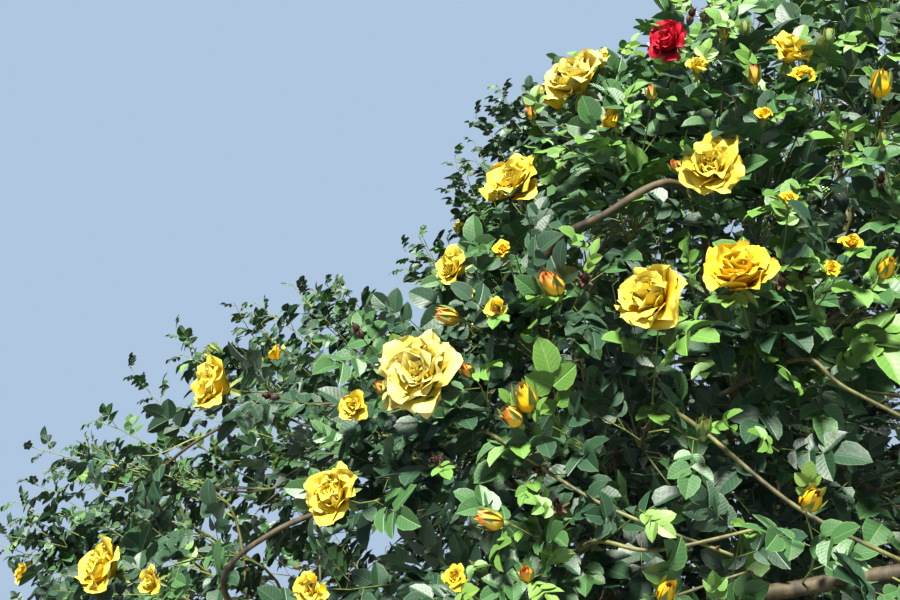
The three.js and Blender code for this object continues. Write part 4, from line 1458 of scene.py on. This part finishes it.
cup_paths = []
cup_radii = []
sepals = []
for tip, end, axis in zip(tips, flower_ends, flower_axes):
    is_bud = tip["part"] == "bud"
    radius = cup_radii_by_part.get(tip["part"], tip["size"] * 0.5)
    if is_bud:
        radius = min(radius, 0.2 * tip["size"])
    cup_paths.append(end + axis * cup_places[:, None] * radius * cup_length)
    cup_radii.append(cup_profile * radius)
    across, over = flower_frame(axis)
    share, lift, curl = sepal_makes[tip["part"]]
    for k in range(sepal_count):
        turn = 2 * math.pi * (k + 0.3 * chance.random()) / sepal_count
        radial = across * math.cos(turn) + over * math.sin(turn)
        way = unit(radial + axis * lift)
        facing = unit(radial - axis) if is_bud else axis
        sepals.append((end + radial * radius * 0.6, way, facing, share * tip["size"], curl))
is_spent = np.array([tip["part"] == "head" for tip in tips]).astype(int)
cup_part = several(*tubes(np.array(cup_paths), np.array(cup_radii), cup_sides, True))
cup_part["tints"] = is_spent.repeat(len(cup_part["faces"]) // len(tips))
bases, ways, facings, lengths, curls = (np.array(values) for values in zip(*sepals))
widths = np.full(len(sepals), sepal_width)
folds = np.full(len(sepals), sepal_fold)
sepal_part = leaflets(outer_outline, bases, ways, facings, lengths, widths, folds, curls)
sepal_part["tints"] = is_spent.repeat(sepal_count * sepal_part["each"])
del sepal_part["blade"]
spent_material = bark_material(
    "spent_head", (0.030, 0.018, 0.012), (0.10, 0.055, 0.030), 200.0, 0.7, 0.0008
)
cups = joined("cups_and_sepals", [cup_part, sepal_part], [shoot_material, spent_material])
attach(cups, "root")

# Camera, floor and light
# The camera stands below the middle of the crown and looks slightly up at its front. One key
# light stands high at the front and a weaker one lower behind, over a plain pale floor.

camera_lens = 50
camera_place = (-0.55, -2.85, 1.35)
camera_tilt = 102
floor_radius = 40
floor_drop = 0.001
floor_colour = (0.20, 0.205, 0.21, 1)
fill_colour = (0.68, 0.82, 1.0, 1)
fill_strength = 0.14
backdrop_colour = (0.58, 0.76, 1.0, 1)
backdrop_strength = 0.75
backdrop_in_gloss = 0.5

camera_data = bpy.data.cameras.new("camera")
camera_data.lens = camera_lens
camera_data.sensor_width = 36
camera = bpy.data.objects.new("camera", camera_data)
camera.location = camera_place
camera.rotation_euler = (math.radians(camera_tilt), 0, 0)
bpy.context.scene.collection.objects.link(camera)
bpy.context.scene.camera = camera

floor_material = bpy.data.materials.new("pale_floor")
floor_material.use_nodes = True
floor_surface = floor_material.node_tree.nodes["Principled BSDF"].inputs
floor_surface["Base Color"].default_value = floor_colour
floor_surface["Roughness"].default_value = 0.9
bpy.ops.mesh.primitive_circle_add(
    vertices=96, radius=floor_radius, fill_type="NGON", location=(0, 0, -floor_drop)
)
floor = bpy.context.object
floor.name = "floor"
floor.data.materials.append(floor_material)

world = bpy.data.worlds.new("studio")
world.use_nodes = True
studio = world.node_tree
fill = studio.nodes["Background"]
fill.inputs["Color"].default_value = fill_colour
fill.inputs["Strength"].default_value = fill_strength
glow = {"Color": backdrop_colour, "Strength": backdrop_strength}
backdrop = shading(studio, "Background", glow)
rays = shading(studio, "LightPath", {}).node.outputs
glossy = rays["Is Glossy Ray"]
shown = maths(studio, "MULTIPLY_ADD", glossy, backdrop_in_gloss, rays["Is Camera Ray"])
seen = shading(studio, "MixShader", {0: shown, 1: fill.outputs[0], 2: backdrop})
studio.links.new(seen, studio.nodes["World Output"].inputs["Surface"])
bpy.context.scene.world = world
bpy.context.scene.view_settings.view_transform = "Standard"


def soft_light(name, azimuth, elevation, softness, strength, colour):
    """Even light over everything from one direction, with soft edges to its shadows."""
    data = bpy.data.lights.new(name, "SUN")
    data.angle = math.radians(softness)
    data.energy = strength
    data.color = colour
    lamp = bpy.data.objects.new(name, data)
    lamp.rotation_euler = Vector(direction(azimuth, elevation)).to_track_quat("Z", "Y").to_euler()
    bpy.context.scene.collection.objects.link(lamp)


soft_light("key", -98, 51, 11, 13.5, (1.0, 0.96, 0.88))
soft_light("rim", 52, 36, 22, 3.0, (1.0, 0.97, 0.92))
